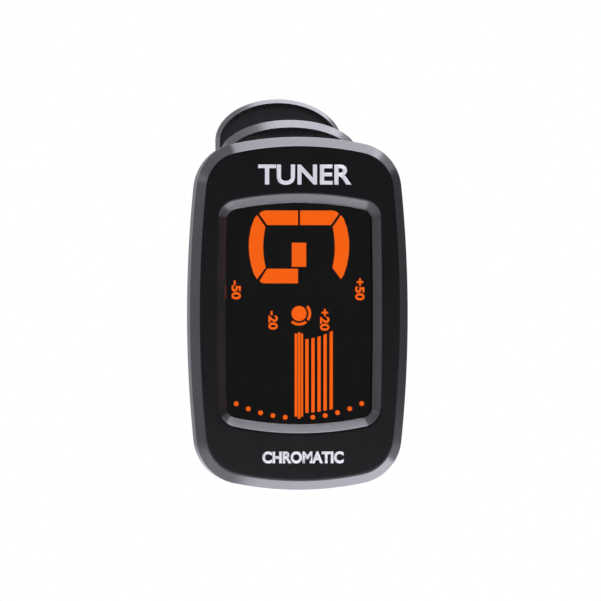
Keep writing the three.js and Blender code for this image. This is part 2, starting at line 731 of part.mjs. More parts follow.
function frontLever() {
  const outline = leverOutline(0, FRONT_TIP_Z, FRONT_TIP_ROUND, FRONT_HALF_W);
  const finger = slabX(plateProfile(FRONT_LINE, -LEVER_T), -FAR, FAR);
  const jaw = box(-FAR, FAR, FRONT_JAW_OUT, FRONT_JAW_IN, -FAR, 13);
  let body = finger.add(jaw).intersect(slabY(outline, -FAR, FAR));
  for (const side of [-1, 1]) body = body.add(frontEar(side));
  body = body.subtract(barX(PIN_R, -FAR, FAR, PIVOT_Y, PIVOT_Z));
  // A hole for the turntable's hub, and a well for the washer and the screw's head.
  body = body.subtract(barY(HUB_R + RUNNING, FRONT_JAW_OUT - 1, 0, 0, SWIVEL_Z));
  return body.subtract(barY(SWIVEL_WASHER_R + 0.4, SCREW_SEAT, 0, 0, SWIVEL_Z, 32));
}

// An ear, from its web's points out to the round eye at the pivot.
function ear(x0, x1, web) {
  const points = [
    new THREE.Vector2(PIVOT_Y, PIVOT_Z - EAR_R),
    new THREE.Vector2(PIVOT_Y, PIVOT_Z + EAR_R),
    ...web.map(([y, z]) => new THREE.Vector2(y, PIVOT_Z + z)),
  ];
  return barX(EAR_R, x0, x1, PIVOT_Y, PIVOT_Z).add(slabX(points, x0, x1));
}

function frontEar(side) {
  const x0 = side > 0 ? FRONT_EAR_IN : -FRONT_HALF_W;
  const x1 = side > 0 ? FRONT_HALF_W : -FRONT_EAR_IN;
  return ear(x0, x1, [[-9, 6], [-7, -6]]);
}

function rearEar(side) {
  const x0 = side > 0 ? REAR_EAR_IN : -REAR_EAR_OUT;
  const x1 = side > 0 ? REAR_EAR_OUT : -REAR_EAR_IN;
  return ear(x0, x1, [[3, 5], [3, -5]]);
}

// The finger end is dished, with a thin rim round its inner face.
function rearLever() {
  const outline = leverOutline(0, REAR_TIP_Z, REAR_TIP_ROUND, REAR_HALF_W);
  const finger = slabX(plateProfile(REAR_LINE, LEVER_T), -FAR, FAR);
  const jaw = box(-FAR, FAR, REAR_JAW_IN, REAR_JAW_OUT, -FAR, 8);
  let body = finger.add(jaw).intersect(slabY(outline, -FAR, FAR));
  const inRim = leverOutline(DISH_RIM, REAR_TIP_Z, REAR_TIP_ROUND, REAR_HALF_W);
  const dish = slabX(plateProfile(DISH_LINE, 3), -FAR, FAR).intersect(slabY(inRim, -FAR, FAR));
  body = body.subtract(dish);
  for (const side of [-1, 1]) body = body.add(rearEar(side));
  return body.subtract(barX(PIN_R + RUNNING, -FAR, FAR, PIVOT_Y, PIVOT_Z));
}

function hingePin() {
  return barX(PIN_R - RUNNING, GAP - FRONT_HALF_W, FRONT_HALF_W - GAP, PIVOT_Y, PIVOT_Z);
}

// A grip pad, with three grooves across its face above the centre and three below.
function gripPad(y0, y1, faceAtHigh) {
  const outline = [
    new THREE.Vector2(-PAD_HALF_W, -PAD_HALF_H),
    new THREE.Vector2(PAD_HALF_W, -PAD_HALF_H),
    new THREE.Vector2(PAD_HALF_W, PAD_HALF_H),
    new THREE.Vector2(-PAD_HALF_W, PAD_HALF_H),
  ];
  const face = faceAtHigh ? y1 : y0;
  const d = GROOVE_DEPTH;
  let pad = slabY(outline, y0, y1, PAD_BEVEL);
  for (const row of GROOVE_ROWS) {
    for (const z of [-row, row]) {
      pad = pad.subtract(box(-FAR, FAR, face - d, face + d, z - GROOVE_HALF_H, z + GROOVE_HALF_H));
    }
  }
  return pad;
}

// The torsion spring's line: the front leg down to the coil, then the turns round the pin.
class LegAndCoil extends THREE.Curve {
  getPoint(t, target = new THREE.Vector3()) {
    const legShare = 0.15;
    if (t < legShare) {
      const back = (1 - t / legShare) * FRONT_LEG_L;
      const y = PIVOT_Y + COIL_R * Math.cos(FRONT_LEG_TURN) + back * Math.sin(FRONT_LEG_TURN);
      const z = PIVOT_Z + COIL_R * Math.sin(FRONT_LEG_TURN) - back * Math.cos(FRONT_LEG_TURN);
      return target.set(-COIL_HALF_L, y, z);
    }
    const s = (t - legShare) / (1 - legShare);
    const a = FRONT_LEG_TURN + s * COIL_TURNS * Math.PI * 2;
    const x = -COIL_HALF_L + s * COIL_TURNS * COIL_PITCH;
    return target.set(x, PIVOT_Y + COIL_R * Math.cos(a), PIVOT_Z + COIL_R * Math.sin(a));
  }
}

// The spring's rear leg, beside the coil, leans back to the rear lever.
function springRearLeg() {
  const x = COIL_HALF_L + WIRE_R * 2 + GAP;
  const footY = PIVOT_Y + COIL_R;
  const foot = new THREE.Vector3(x, footY, PIVOT_Z);
  const tip = new THREE.Vector3(x, footY + REAR_LEG_LEAN, PIVOT_Z + REAR_LEG_H);
  return wire(WIRE_R, new THREE.LineCurve3(foot, tip), 1);
}

// ---------------------------------------------------------------- the object

const tuner = new THREE.Group();

const clip = new THREE.Group();
clip.add(piece("front_lever", frontLever(), "clip"));
clip.add(piece("rear_lever", rearLever(), "clip"));
clip.add(piece("hinge_pin", hingePin(), "steel"));
clip.add(piece("torsion_spring", wire(WIRE_R, new LegAndCoil(), 76), "steel"));
clip.add(piece("torsion_spring_rear_leg", springRearLeg(), "steel"));
clip.add(piece("front_pad", gripPad(-PAD_T, 0, true), "rubber"));
clip.add(piece("rear_pad", gripPad(PAD_GAP, PAD_GAP + PAD_T, false), "rubber"));
tuner.add(clip);

const swivel = new THREE.Group();
swivel.add(piece("swivel_base", swivelBase(), "clip"));
swivel.add(piece("swivel_washer", swivelWasher(), "steel"));
swivel.add(piece("swivel_screw", swivelScrew(), "steel"));
swivel.add(piece("tilt_washer_left", tiltWasher(-1), "nylon"));
swivel.add(piece("tilt_washer_right", tiltWasher(1), "nylon"));
tuner.add(swivel);

const head = new THREE.Group();
head.add(piece("front_cover", frontCover(), "case"));
head.add(piece("rear_cover", rearCover(), "case"));
head.add(piece("tilt_pin", tiltPin(), "steel"));
head.add(piece("display_lens", displayLens(), "lens"));
head.add(piece("display_panel", displayPanel(), "panel"));
head.add(piece("light_guide", lightGuide(), "guide"));
head.add(piece("backlight_led", backlightLed(), "nylon"));
head.add(piece("contact_strip", contactStrip(), "rubber"));
head.add(piece("circuit_board", circuitBoard(), "board"));
head.add(piece("controller_chip", controllerChip(), "chip"));
head.add(piece("clock_crystal", clockCrystal(), "steel"));
head.add(piece("button_switch", buttonSwitch(), "chip"));
head.add(piece("coin_cell", coinCell(), "steel"));
head.add(piece("negative_contact", negativeContact(), "contact"));
head.add(piece("positive_contact", positiveContact(), "contact"));
for (const s of SCREWS) head.add(piece(s.name, caseScrew(s), "steel"));
head.add(piece("pickup_disc", pickupDisc(), "piezo"));
head.add(piece("pickup_lead_signal", pickupLead(1.2, 2.2), "wireRed"));
head.add(piece("pickup_lead_ground", pickupLead(-1.2, -2.2), "wireBlack"));
head.add(piece("battery_door", batteryDoor(), "case"));
head.add(piece("power_button", powerButton(), "rubber"));
tuner.add(head);

export default tuner;
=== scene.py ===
import json
import math

import bmesh
import bpy
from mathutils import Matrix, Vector


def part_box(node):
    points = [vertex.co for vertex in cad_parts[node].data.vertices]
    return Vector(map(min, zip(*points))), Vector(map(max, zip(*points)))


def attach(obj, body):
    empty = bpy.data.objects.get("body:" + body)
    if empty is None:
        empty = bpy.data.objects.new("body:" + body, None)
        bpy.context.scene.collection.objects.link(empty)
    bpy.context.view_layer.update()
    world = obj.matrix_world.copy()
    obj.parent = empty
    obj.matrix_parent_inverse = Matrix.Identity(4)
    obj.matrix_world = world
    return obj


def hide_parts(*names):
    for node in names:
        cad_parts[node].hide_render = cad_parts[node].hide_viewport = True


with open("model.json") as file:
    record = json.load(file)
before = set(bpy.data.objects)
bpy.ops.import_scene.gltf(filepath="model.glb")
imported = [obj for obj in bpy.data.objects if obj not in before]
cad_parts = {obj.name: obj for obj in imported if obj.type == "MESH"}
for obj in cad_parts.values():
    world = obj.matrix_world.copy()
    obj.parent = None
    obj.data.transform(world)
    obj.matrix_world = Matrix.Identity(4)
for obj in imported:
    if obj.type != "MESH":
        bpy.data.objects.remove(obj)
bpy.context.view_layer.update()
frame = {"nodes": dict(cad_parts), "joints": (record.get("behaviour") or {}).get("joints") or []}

# Clip-on instrument tuner. Lengths are millimetres up to the moment a mesh is made.
# +X is to the viewer's right, +Y away from the viewer and +Z up, as in the frame.
MM = 0.001
FAR = 60  # past the whole object on every side, for cutters

# ------------------------------------------------------------------ driving dimensions


def node_box(node):
    """A CAD node's lowest and highest corners, in millimetres."""
    low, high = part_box(node)
    return low / MM, high / MM


COVER_LOW, COVER_HIGH = node_box("front_cover")
REAR_LOW, REAR_HIGH = node_box("rear_cover")
DOOR_LOW, DOOR_HIGH = node_box("battery_door")
LENS_LOW, LENS_HIGH = node_box("display_lens")
PANEL_FRONT = node_box("display_panel")[0].y
BOARD_BACK = node_box("circuit_board")[1].y
BUTTON_LOW, BUTTON_HIGH = node_box("power_button")
FRONT_LOW, FRONT_HIGH = node_box("front_lever")
BACK_HIGH = node_box("rear_lever")[1]
CELL_LOW, CELL_HIGH = node_box("coin_cell")
SCREW_NODES = [
    "case_screw_upper_left",
    "case_screw_upper_right",
    "case_screw_lower_left",
    "case_screw_lower_right",
]
JOINTS = {j["name"]: j for j in frame["joints"]}
PIVOT_Y, PIVOT_Z = (v / MM for v in JOINTS["jaw_hinge"]["pos_m"][1:])
TILT_Y, TILT_Z = (v / MM for v in JOINTS["head_tilt"]["pos_m"][1:])
SWIVEL_Z = JOINTS["head_swivel"]["pos_m"][2] / MM

# Head: a bowed rounded rectangle with a chamfered rim and a sunk window.
FACE_Y = COVER_LOW.y
SEAM_Y = COVER_HIGH.y
LIP_Y = REAR_LOW.y
SEAM_GAP = 0.3
REAR_Y = SEAM_Y + SEAM_GAP
BACK_Y = DOOR_HIGH.y
HEAD_HALF_W = (COVER_HIGH.x - COVER_LOW.x) / 2
HEAD_HALF_H = (COVER_HIGH.z - COVER_LOW.z) / 2
HEAD_Z = (COVER_HIGH.z + COVER_LOW.z) / 2
SIDE_R = 200
TOP_R = 50
CORNER_R = 7.5
WALL = 1.4
FACE_T = 1.7
RIM = 1.5
REAR_INSET = HEAD_HALF_W - REAR_HIGH.x
REAR_RIM = 1.5
REAR_EDGE = 0.09
LIP_STEP = 0.5  # the seam's lip stands this far inside the rear cover's side
SEAM_EDGE = 0.25
EDGE = 0.16  # rounding of the case's crisp edges
EDGE_RUN = 0.5  # flat kept beside a rounded edge

WINDOW_HALF_W = 11.7
WINDOW_HALF_H = 17.5
WINDOW_SIDE_R = 650
WINDOW_TOP_R = 50
WINDOW_CORNER_R = 1.7
BAND = 1.4
BAND_END = 0.3  # last stretch of the band, which meets the opening in a crisper edge
OPENING_EDGE = 0.03
UNDERCUT = 0.05  # the opening's wall leans outward by this much
LENS_GAP = 0.04
LENS_EDGE = 0.03
LENS_SEAT = 0.2  # from the face's inside to the lens's flange
LENS_FLANGE = LENS_HIGH.x - WINDOW_HALF_W

# Rear cover's fittings.
COVER_GAP = 0.3  # clearance round the door, the cell and the button
CELL_BAY_DEPTH = 4
BOSS_R = 1.5
BOSS_GAP = 0.35  # from the board to the screw bosses
BOSS_TOP = 1  # the bosses end this far inside the back
WELL_R = 1.45
WELL_DEPTH = 1.2
SHANK_HOLE_R = 0.95
SHANK_HOLE_DEPTH = 8
HINGE_EAR_IN = 3.0
HINGE_EAR_T = 2.6
HINGE_EAR_ROOT = 0.6  # the ears start this far inside the back
HINGE_EAR_EDGE = 0.15
KNUCKLE_R = 2.6
GUSSET_H = 3.4
TILT_BORE_R = 1.0
BUTTON_SHIFT = 0.22  # the key's middle, in front of the middle of the CAD piece
BUTTON_Y = (BUTTON_LOW.y + BUTTON_HIGH.y) / 2 - BUTTON_SHIFT
BUTTON_Z = (BUTTON_LOW.z + BUTTON_HIGH.z) / 2
BUTTON_HALF_W = 1.2
BUTTON_HALF_L = 4.0

# Battery door: a plate with a wider tongue in front of it, thumb grooves and an arrow.
TONGUE_REACH = 0.7  # past the plate on each side
TONGUE_T = 0.5
PLATE_STEP = 0.35  # from the tongue's front to the plate's
DOOR_EDGE = 0.07
GROOVES = 5
GROOVE_FIRST = 2.2  # above the door's lower end
GROOVE_PITCH = 1.3
GROOVE_HALF_W = 4.5
GROOVE_HALF_H = 0.3
GROOVE_DEPTH = 0.35
ARROW_FOOT = 11.2  # above the door's lower end
ARROW_HALF_W = 1.5
ARROW_H = 2.4
ARROW_DEPTH = 0.25

# Clip.
JAW_LOW = FRONT_LOW.z
JAW_HALF_W = 8.5
JAW_CORNER = 3
NECK_LOW = 14.75  # the jaw's width grows to the lever's between these heights
NECK_HIGH = 23
FRONT_HALF_W = FRONT_HIGH.x
REAR_HALF_W = BACK_HIGH.x
FRONT_ROUND = 5.4
REAR_ROUND = 6.9
FRONT_BAND = 1.25  # the front lever's chamfer: its width, and its depth from the sloping face
FRONT_BAND_DEPTH = 1.5
REAR_BAND = 0.62  # the rear lever's 45 degree chamfer, facing the front
DISH = 0.55
DISH_LOW = 36.5  # the rear finger end's dish deepens between these heights
DISH_HIGH = 39.5
LEVER_EDGE = 0.12
EAR_R = 3.2
EAR_EDGE = 0.25
FRONT_EAR_IN = 7.8
REAR_EAR_IN = 5.3
REAR_EAR_OUT = 7.5
FRONT_EAR_SINK = 0.02  # the front ears' outer faces, inside the lever's sides
FRONT_WEB = [(-8.6, 6), (-6.6, -6)]  # the ears' feet in the levers: y, and height above the pin
REAR_WEB = [(3, -5), (3, 5)]
PIN_R = 1.4
RUNNING = 0.08
HUB_HOLE_R = 2.08
SCREW_WELL_R = 3.6
FRONT_JAW_OUT = -5.6
FRONT_JAW_IN = -2.5
REAR_JAW_OUT = 7.7
REAR_JAW_IN = 4.6
SCREW_SEAT = FRONT_JAW_OUT + 1.2  # the swivel screw clamps the front jaw here

# Grip ridges across the rear finger end.
RIDGES = 5
RIDGE_FIRST = 38.5
RIDGE_PITCH = 1.9
RIDGE_RISE = 0.28
RIDGE_HALF_H = 0.38
RIDGE_HALF_W = 6.5
RIDGE_TAPER = 0.25  # each ridge is this much shorter, at each end, than the one below
RIDGE_EDGE = 0.2

# The levers' faces as (z, y), from the jaw end up past the finger end.
FRONT_OUTER = [
    (JAW_LOW, FRONT_JAW_OUT),
    (8, FRONT_JAW_OUT),
    (13, FRONT_JAW_OUT),
    (21, -7.2),
    (30, -9.6),
    (41, -12.4),
    (FRONT_HIGH.z + 1, -14.6),
]
FRONT_INNER = [
    (JAW_LOW, FRONT_JAW_IN),
    (9, FRONT_JAW_IN),
    (13, -2.7),
    (21, -4.8),
    (30, -7.2),
    (41, -10.0),
    (FRONT_HIGH.z + 1, -12.2),
]
REAR_OUTER = [
    (JAW_LOW, REAR_JAW_OUT),
    (7, REAR_JAW_OUT),
    (12, REAR_JAW_OUT + 1.35),
    (18, REAR_JAW_OUT + 0.8),
    (24, 5.2),
    (30, 4.3),
    (40, 6.0),
    (BACK_HIGH.z + 1, 8.6),
]
REAR_INNER = [
    (JAW_LOW, REAR_JAW_IN),
    (7.5, REAR_JAW_IN),
    (12, 6.6),
    (18, 5.9),
    (24, 2.8),
    (30, 2.0),
    (40, 3.65),
    (BACK_HIGH.z + 1, 6.25),
]

# The levers' edges in section, as (inset from the outline, depth from the face).
FRONT_OUTER_EDGE = [
    (FRONT_BAND + 0.4, 0),
    (FRONT_BAND, 0),
    (0, FRONT_BAND_DEPTH),
    (0, FRONT_BAND_DEPTH + 0.3),
]
FRONT_INNER_EDGE = [(0, 0.4), (0, 0.2), (0.2, 0), (0.6, 0)]
REAR_DISH_EDGE = [(REAR_BAND + 0.6, DISH), (REAR_BAND + 0.15, DISH), (REAR_BAND + 0.05, 0.05)]
REAR_INNER_EDGE = [(REAR_BAND + 0.04, 0), (REAR_BAND, 0), (0, REAR_BAND)]
REAR_OUTER_EDGE = [(0, 1.2), (0, 0.8), (0.8, 0), (1.3, 0)]

# Torsion spring.
WIRE_R = 0.5
COIL_R = 2.5
COIL_TURNS = 4
COIL_PITCH = 1.35
COIL_STEPS = 160
FRONT_LEG_L = 13
FRONT_LEG_STEPS = 14
FRONT_LEG_TURN = math.pi * 1.105  # angle round the pin where the leg leaves the coil

# Camera and stage.
VIEW_TURN = math.radians(-6)
VIEW_DISTANCE = 1200
VIEW_WIDTH = 94.8
VIEW_AIM = (0.06, FACE_Y, HEAD_Z + 2.05)
FLOOR_Z = -50
FLOOR_T = 5
FLOOR_HALF = 500

# Meshes.
BOW_STEPS = (12, 16, 12)  # along a quarter's side, corner and end arcs
ROUND_STEPS = 6  # round a small corner
EASE_STEPS = 4  # round an eased edge
WIRE_SIDES = 12
WELD = 0.002  # points closer than this are one
CORNER_STEPS = 8  # along a lever's outline, from the jaw's corner to the finger end
JAW_STEPS = 17
NECK_STEPS = 8
SIDE_STEPS = 12
TIP_STEPS = 28

# ------------------------------------------------------------------ materials


def link(tree, a, b):
    tree.links.new(a, b)


def noise(tree, vector, scale, detail=3.0, roughness=0.5):
    node = tree.nodes.new("ShaderNodeTexNoise")
    node.inputs["Scale"].default_value = scale
    node.inputs["Detail"].default_value = detail
    node.inputs["Roughness"].default_value = roughness
    link(tree, vector, node.inputs["Vector"])
    return node.outputs["Fac"]


def spread(tree, value, low, high, source=(0.3, 0.7)):
    """value, taken from the source range to low..high."""
    node = tree.nodes.new("ShaderNodeMapRange")
    node.inputs["From Min"].default_value = source[0]
    node.inputs["From Max"].default_value = source[1]
    node.inputs["To Min"].default_value = low
    node.inputs["To Max"].default_value = high
    link(tree, value, node.inputs["Value"])
    return node.outputs["Result"]


def mix(tree, factor, one, two):
    """Two colours or colour sockets, blended by a socket."""
    node = tree.nodes.new("ShaderNodeMix")
    node.data_type = "RGBA"
    link(tree, factor, node.inputs["Factor"])
    for value, socket in ((one, node.inputs[6]), (two, node.inputs[7])):
        if isinstance(value, tuple):
            socket.default_value = (*value, 1)
        else:
            link(tree, value, socket)
    return node.outputs[2]


def shade(color, share):
    return tuple(min(1.0, c * share) for c in color)


def material(
    name,
    color,
    rough,
    metal=0.0,
    ior=1.5,
    tone=(120, 0.12),
    polish=0.05,
    grain=(5000, 0.004),
    stretch=(1, 1, 1),
    scuffs=0.0,
    pattern=None,
):
    """A procedural surface: slow tone changes, uneven polish, a fine grain and light scuffs."""
    made = bpy.data.materials.new(name)
    made.use_nodes = True
    tree = made.node_tree
    shader = tree.nodes["Principled BSDF"]
    shader.inputs["Metallic"].default_value = metal
    shader.inputs["IOR"].default_value = ior
    coords = tree.nodes.new("ShaderNodeTexCoord")
    place = tree.nodes.new("ShaderNodeMapping")
    place.inputs["Scale"].default_value = stretch
    link(tree, coords.outputs["Object"], place.inputs["Vector"])
    vector = place.outputs["Vector"]

    cloud = spread(tree, noise(tree, vector, tone[0]), 0.0, 1.0)
    surface = mix(tree, cloud, shade(color, 1 - tone[1]), shade(color, 1 + tone[1]))
    if pattern:
        surface = pattern(tree, coords.outputs["Object"], surface)
    if scuffs:
        marks = noise(tree, vector, tone[0] * 9, 6.0, 0.75)
        marks = spread(tree, marks, 0.0, scuffs, (0.62, 0.8))
        surface = mix(tree, marks, surface, shade(color, 3.0))
    link(tree, surface, shader.inputs["Base Color"])

    worn = noise(tree, vector, tone[0] * 3, 5.0, 0.6)
    link(tree, spread(tree, worn, rough - polish, rough + polish), shader.inputs["Roughness"])

    bump = tree.nodes.new("ShaderNodeBump")
    bump.inputs["Strength"].default_value = 0.6
    bump.inputs["Distance"].default_value = grain[1] * MM
    link(tree, noise(tree, vector, grain[0], 2.0), bump.inputs["Height"])
    link(tree, bump.outputs["Normal"], shader.inputs["Normal"])
    return made


def glowing(name, color, strength):
    """A lit display segment, with the slight unevenness of light from one edge."""
    made = bpy.data.materials.new(name)
    made.use_nodes = True
    tree = made.node_tree
    shader = tree.nodes["Principled BSDF"]
    shader.inputs["Base Color"].default_value = (*shade(color, 0.02), 1)
    shader.inputs["Roughness"].default_value = 0.5
    shader.inputs["Specular IOR Level"].default_value = 0.1
    shader.inputs["Emission Strength"].default_value = strength
    coords = tree.nodes.new("ShaderNodeTexCoord")
    cloud = spread(tree, noise(tree, coords.outputs["Object"], 90), 0.0, 1.0)
    link(tree, mix(tree, cloud, shade(color, 0.97), color), shader.inputs["Emission Color"])
    return made


def clear(name):
    """The window's clear pane: smooth, with a faint unevenness from moulding."""
    made = bpy.data.materials.new(name)
    made.use_nodes = True
    tree = made.node_tree
    shader = tree.nodes["Principled BSDF"]
    shader.inputs["Base Color"].default_value = (0.96, 0.96, 0.97, 1)
    shader.inputs["Transmission Weight"].default_value = 1.0
    shader.inputs["IOR"].default_value = 1.49
    coords = tree.nodes.new("ShaderNodeTexCoord")
    worn = noise(tree, coords.outputs["Object"], 700, 6.0, 0.7)
    link(tree, spread(tree, worn, 0.01, 0.035), shader.inputs["Roughness"])
    return made


def board_traces(tree, vector, base):
    """Lighter copper runs under the solder mask."""
    runs = tree.nodes.new("ShaderNodeTexBrick")
    runs.inputs["Scale"].default_value = 260
    runs.inputs["Mortar Size"].default_value = 0.06
    runs.inputs["Color1"].default_value = (0, 0, 0, 1)
    runs.inputs["Color2"].default_value = (0, 0, 0, 1)
    runs.inputs["Mortar"].default_value = (1, 1, 1, 1)
    turn = tree.nodes.new("ShaderNodeMapping")
    turn.inputs["Rotation"].default_value = (math.radians(90), 0, 0)
    link(tree, vector, turn.inputs["Vector"])
    link(tree, turn.outputs["Vector"], runs.inputs["Vector"])
    return mix(tree, runs.outputs["Color"], base, (0.06, 0.22, 0.08))


def cell_rings(tree, vector, base):
    """The turned rings on the cell's can."""
    rings = tree.nodes.new("ShaderNodeTexWave")
    rings.wave_type = "RINGS"
    rings.rings_direction = "Y"
    rings.inputs["Scale"].default_value = 900
    rings.inputs["Distortion"].default_value = 0.6
    middle = tree.nodes.new("ShaderNodeMapping")
    middle.inputs["Location"].default_value = (0, 0, -(CELL_LOW.z + CELL_HIGH.z) / 2 * MM)
    link(tree, vector, middle.inputs["Vector"])
    link(tree, middle.outputs["Vector"], rings.inputs["Vector"])
    return mix(tree, rings.outputs["Fac"], base, (0.82, 0.82, 0.84))


ORANGE = (0.965, 0.122, 0.001)
MATERIALS = {
    "case_gloss": material(
        "case_gloss", (0.0032, 0.0032, 0.0042), 0.22, ior=1.75, tone=(60, 0.1), polish=0.015,
        grain=(6000, 0.0012),
    ),
    "clip_plastic": material(
        "clip_plastic", (0.009, 0.009, 0.0115), 0.28, ior=1.95, tone=(80, 0.12), polish=0.02,
        grain=(4200, 0.002),
    ),
    "lens": clear("lens"),
    "display_dark": material(
        "display_dark", (0.0025, 0.0025, 0.003), 0.12, tone=(60, 0.2), polish=0.02,
        grain=(9000, 0.0002),
    ),
    "segment_orange": glowing("segment_orange", ORANGE, 1.06),
    "light_guide": material("light_guide", (0.75, 0.35, 0.12), 0.35, tone=(200, 0.08)),
    "board_green": material(
        "board_green", (0.012, 0.09, 0.03), 0.35, tone=(150, 0.2), pattern=board_traces,
    ),
    "chip_black": material("chip_black", (0.02, 0.02, 0.021), 0.55, grain=(7000, 0.008)),
    "contact_gold": material(
        "contact_gold", (0.75, 0.5, 0.2), 0.25, 1.0, tone=(300, 0.1), stretch=(1, 1, 12),
    ),
    "steel": material(
        "steel", (0.55, 0.56, 0.58), 0.3, 1.0, tone=(400, 0.12), polish=0.08, stretch=(0.2, 3, 3),
    ),
    "cell_steel": material(
        "cell_steel", (0.62, 0.62, 0.64), 0.28, 1.0, tone=(300, 0.08), pattern=cell_rings,
    ),
    "disc_brass": material("disc_brass", (0.72, 0.5, 0.2), 0.3, 1.0, tone=(250, 0.15)),
    "rubber_black": material(
        "rubber_black", (0.014, 0.014, 0.015), 0.75, tone=(260, 0.3), grain=(3000, 0.02),
        scuffs=0.1,
    ),
    "nylon_white": material("nylon_white", (0.62, 0.61, 0.57), 0.5, tone=(300, 0.06)),
    "lead_red": material("lead_red", (0.4, 0.012, 0.012), 0.45, tone=(500, 0.12)),
    "lead_black": material("lead_black", (0.012, 0.012, 0.013), 0.45, tone=(500, 0.2)),
    "print_silver": material(
        "print_silver", (0.93, 0.93, 0.94), 0.5, tone=(900, 0.05), grain=(9000, 0.002),
    ),
}

# ------------------------------------------------------------------ outlines


def arc(centre, radius, start, end, steps):
    turns = [start + (end - start) * i / steps for i in range(steps + 1)]
    return [(centre[0] + radius * math.cos(t), centre[1] + radius * math.sin(t)) for t in turns]


def bowed(half_w, half_h, side_r, top_r, corner_r):
    """A ring of (x, z): a side arc, a corner arc and an end arc in each quarter."""
    side_x = half_w - side_r
    top_z = half_h - top_r
    a = side_r - corner_r
    b = top_r - corner_r
    apart = math.hypot(side_x, top_z)
    along = (a * a - b * b + apart * apart) / (2 * apart)
    across = math.sqrt(a * a - along * along)
    dx, dz = -side_x / apart, top_z / apart
    corner = (side_x + dx * along - dz * across, dz * along + dx * across)
    start = math.atan2(corner[1], corner[0] - side_x)
    end = math.atan2(corner[1] - top_z, corner[0])
    quarter = arc((side_x, 0), side_r, 0, start, BOW_STEPS[0])[:-1]
    quarter += arc(corner, corner_r, start, end, BOW_STEPS[1])[:-1]
    quarter += arc((0, top_z), top_r, end, math.pi / 2, BOW_STEPS[2])
    left = [(-x, z) for x, z in reversed(quarter)]
    upper = quarter + left[1:]
    lower = [(-x, -z) for x, z in upper]
    return upper + lower[1:-1]


def head_ring(inset, y):
    ring = bowed(
        HEAD_HALF_W - inset, HEAD_HALF_H - inset, SIDE_R - inset, TOP_R - inset, CORNER_R - inset
    )
    return [(x, y, z + HEAD_Z) for x, z in ring]


def window_ring(grow, y):
    ring = bowed(
        WINDOW_HALF_W + grow,
        WINDOW_HALF_H + grow,
        WINDOW_SIDE_R + grow,
        WINDOW_TOP_R + grow,
        WINDOW_CORNER_R + grow,
    )
    return [(x, y, z + HEAD_Z) for x, z in ring]


def rounded_rect(half_a, half_b, radius):
    """A ring of (a, b) with round corners."""
    ring = []
    for turn, (sa, sb) in enumerate(((1, 1), (-1, 1), (-1, -1), (1, -1))):
        centre = (sa * (half_a - radius), sb * (half_b - radius))
        ring += arc(centre, radius, turn * math.pi / 2, (turn + 1) * math.pi / 2, ROUND_STEPS)
    return ring


def eased(path, radius):
    """An open path with each inner corner rounded."""
    out = [path[0]]
    for before, here, after in zip(path, path[1:], path[2:]):
        p0, p1, p2 = Vector(before), Vector(here), Vector(after)
        reach = min(radius, (p0 - p1).length * 0.45, (p2 - p1).length * 0.45)
        a = p1 + (p0 - p1).normalized() * reach
        c = p1 + (p2 - p1).normalized() * reach
        for i in range(EASE_STEPS + 1):
            t = i / EASE_STEPS
            out.append(tuple(a.lerp(p1, t).lerp(p1.lerp(c, t), t)))
    return out + [path[-1]]


def through(points):
    """A smooth line through (z, y) points, as a function of z."""
    zs = [p[0] for p in points]
    ys = [p[1] for p in points]
    slopes = []
    for i in range(len(points)):
        lo, hi = max(i - 1, 0), min(i + 1, len(points) - 1)
        slopes.append((ys[hi] - ys[lo]) / (zs[hi] - zs[lo]))

    def value(z):
        z = min(max(z, zs[0]), zs[-1])
        i = max(k for k in range(len(zs) - 1) if zs[k] <= z)
        h = zs[i + 1] - zs[i]
        t = (z - zs[i]) / h
        t2, t3 = t * t, t * t * t
        return (
            (2 * t3 - 3 * t2 + 1) * ys[i]
            + (t3 - 2 * t2 + t) * h * slopes[i]
            + (3 * t2 - 2 * t3) * ys[i + 1]
            + (t3 - t2) * h * slopes[i + 1]
        )

    return value


def between(low, high, share):
    return low + (high - low) * share


def ease(value, low, high):
    t = min(max((value - low) / (high - low), 0), 1)
    return t * t * (3 - 2 * t)


# ------------------------------------------------------------------ meshes


def built(name, points, faces):
    """An object from millimetre points and faces, with its normals outward."""
    bm = bmesh.new()
    verts = [bm.verts.new(Vector(p) * MM) for p in points]
    for face in faces:
        bm.faces.new([verts[i] for i in face])
    bmesh.ops.recalc_face_normals(bm, faces=bm.faces)
    mesh = bpy.data.meshes.new(name)
    bm.to_mesh(mesh)
    bm.free()
    made = bpy.data.objects.new(name, mesh)
    bpy.context.scene.collection.objects.link(made)
    return made


def lofted(name, rings, closed=False):
    """Quads between matching rings; the ends are capped, or the last ring joins the first."""
    n = len(rings[0])
    points = [p for ring in rings for p in ring]
    faces = []
    for r in range(len(rings) if closed else len(rings) - 1):
        a, b = r * n, (r + 1) % len(rings) * n
        faces += [(a + i, a + (i + 1) % n, b + (i + 1) % n, b + i) for i in range(n)]
    if not closed:
        faces.append(tuple(reversed(range(n))))
        faces.append(tuple(range((len(rings) - 1) * n, len(rings) * n)))
    return built(name, points, faces)


def on_axis(axis, at, a, b):
    """The point at a place along an axis, with its two other coordinates in order."""
    return (at, a, b) if axis == "X" else (a, at, b)


def round_bar(name, axis, radius, start, end, u, v, sides=40):
    """A bar along X (u, v are y, z) or along Y (u, v are x, z)."""
    ring = arc((u, v), radius, 0, 2 * math.pi, sides)[:-1]
    rings = [[on_axis(axis, at, a, b) for a, b in ring] for at in (start, end)]
    return lofted(name, rings)


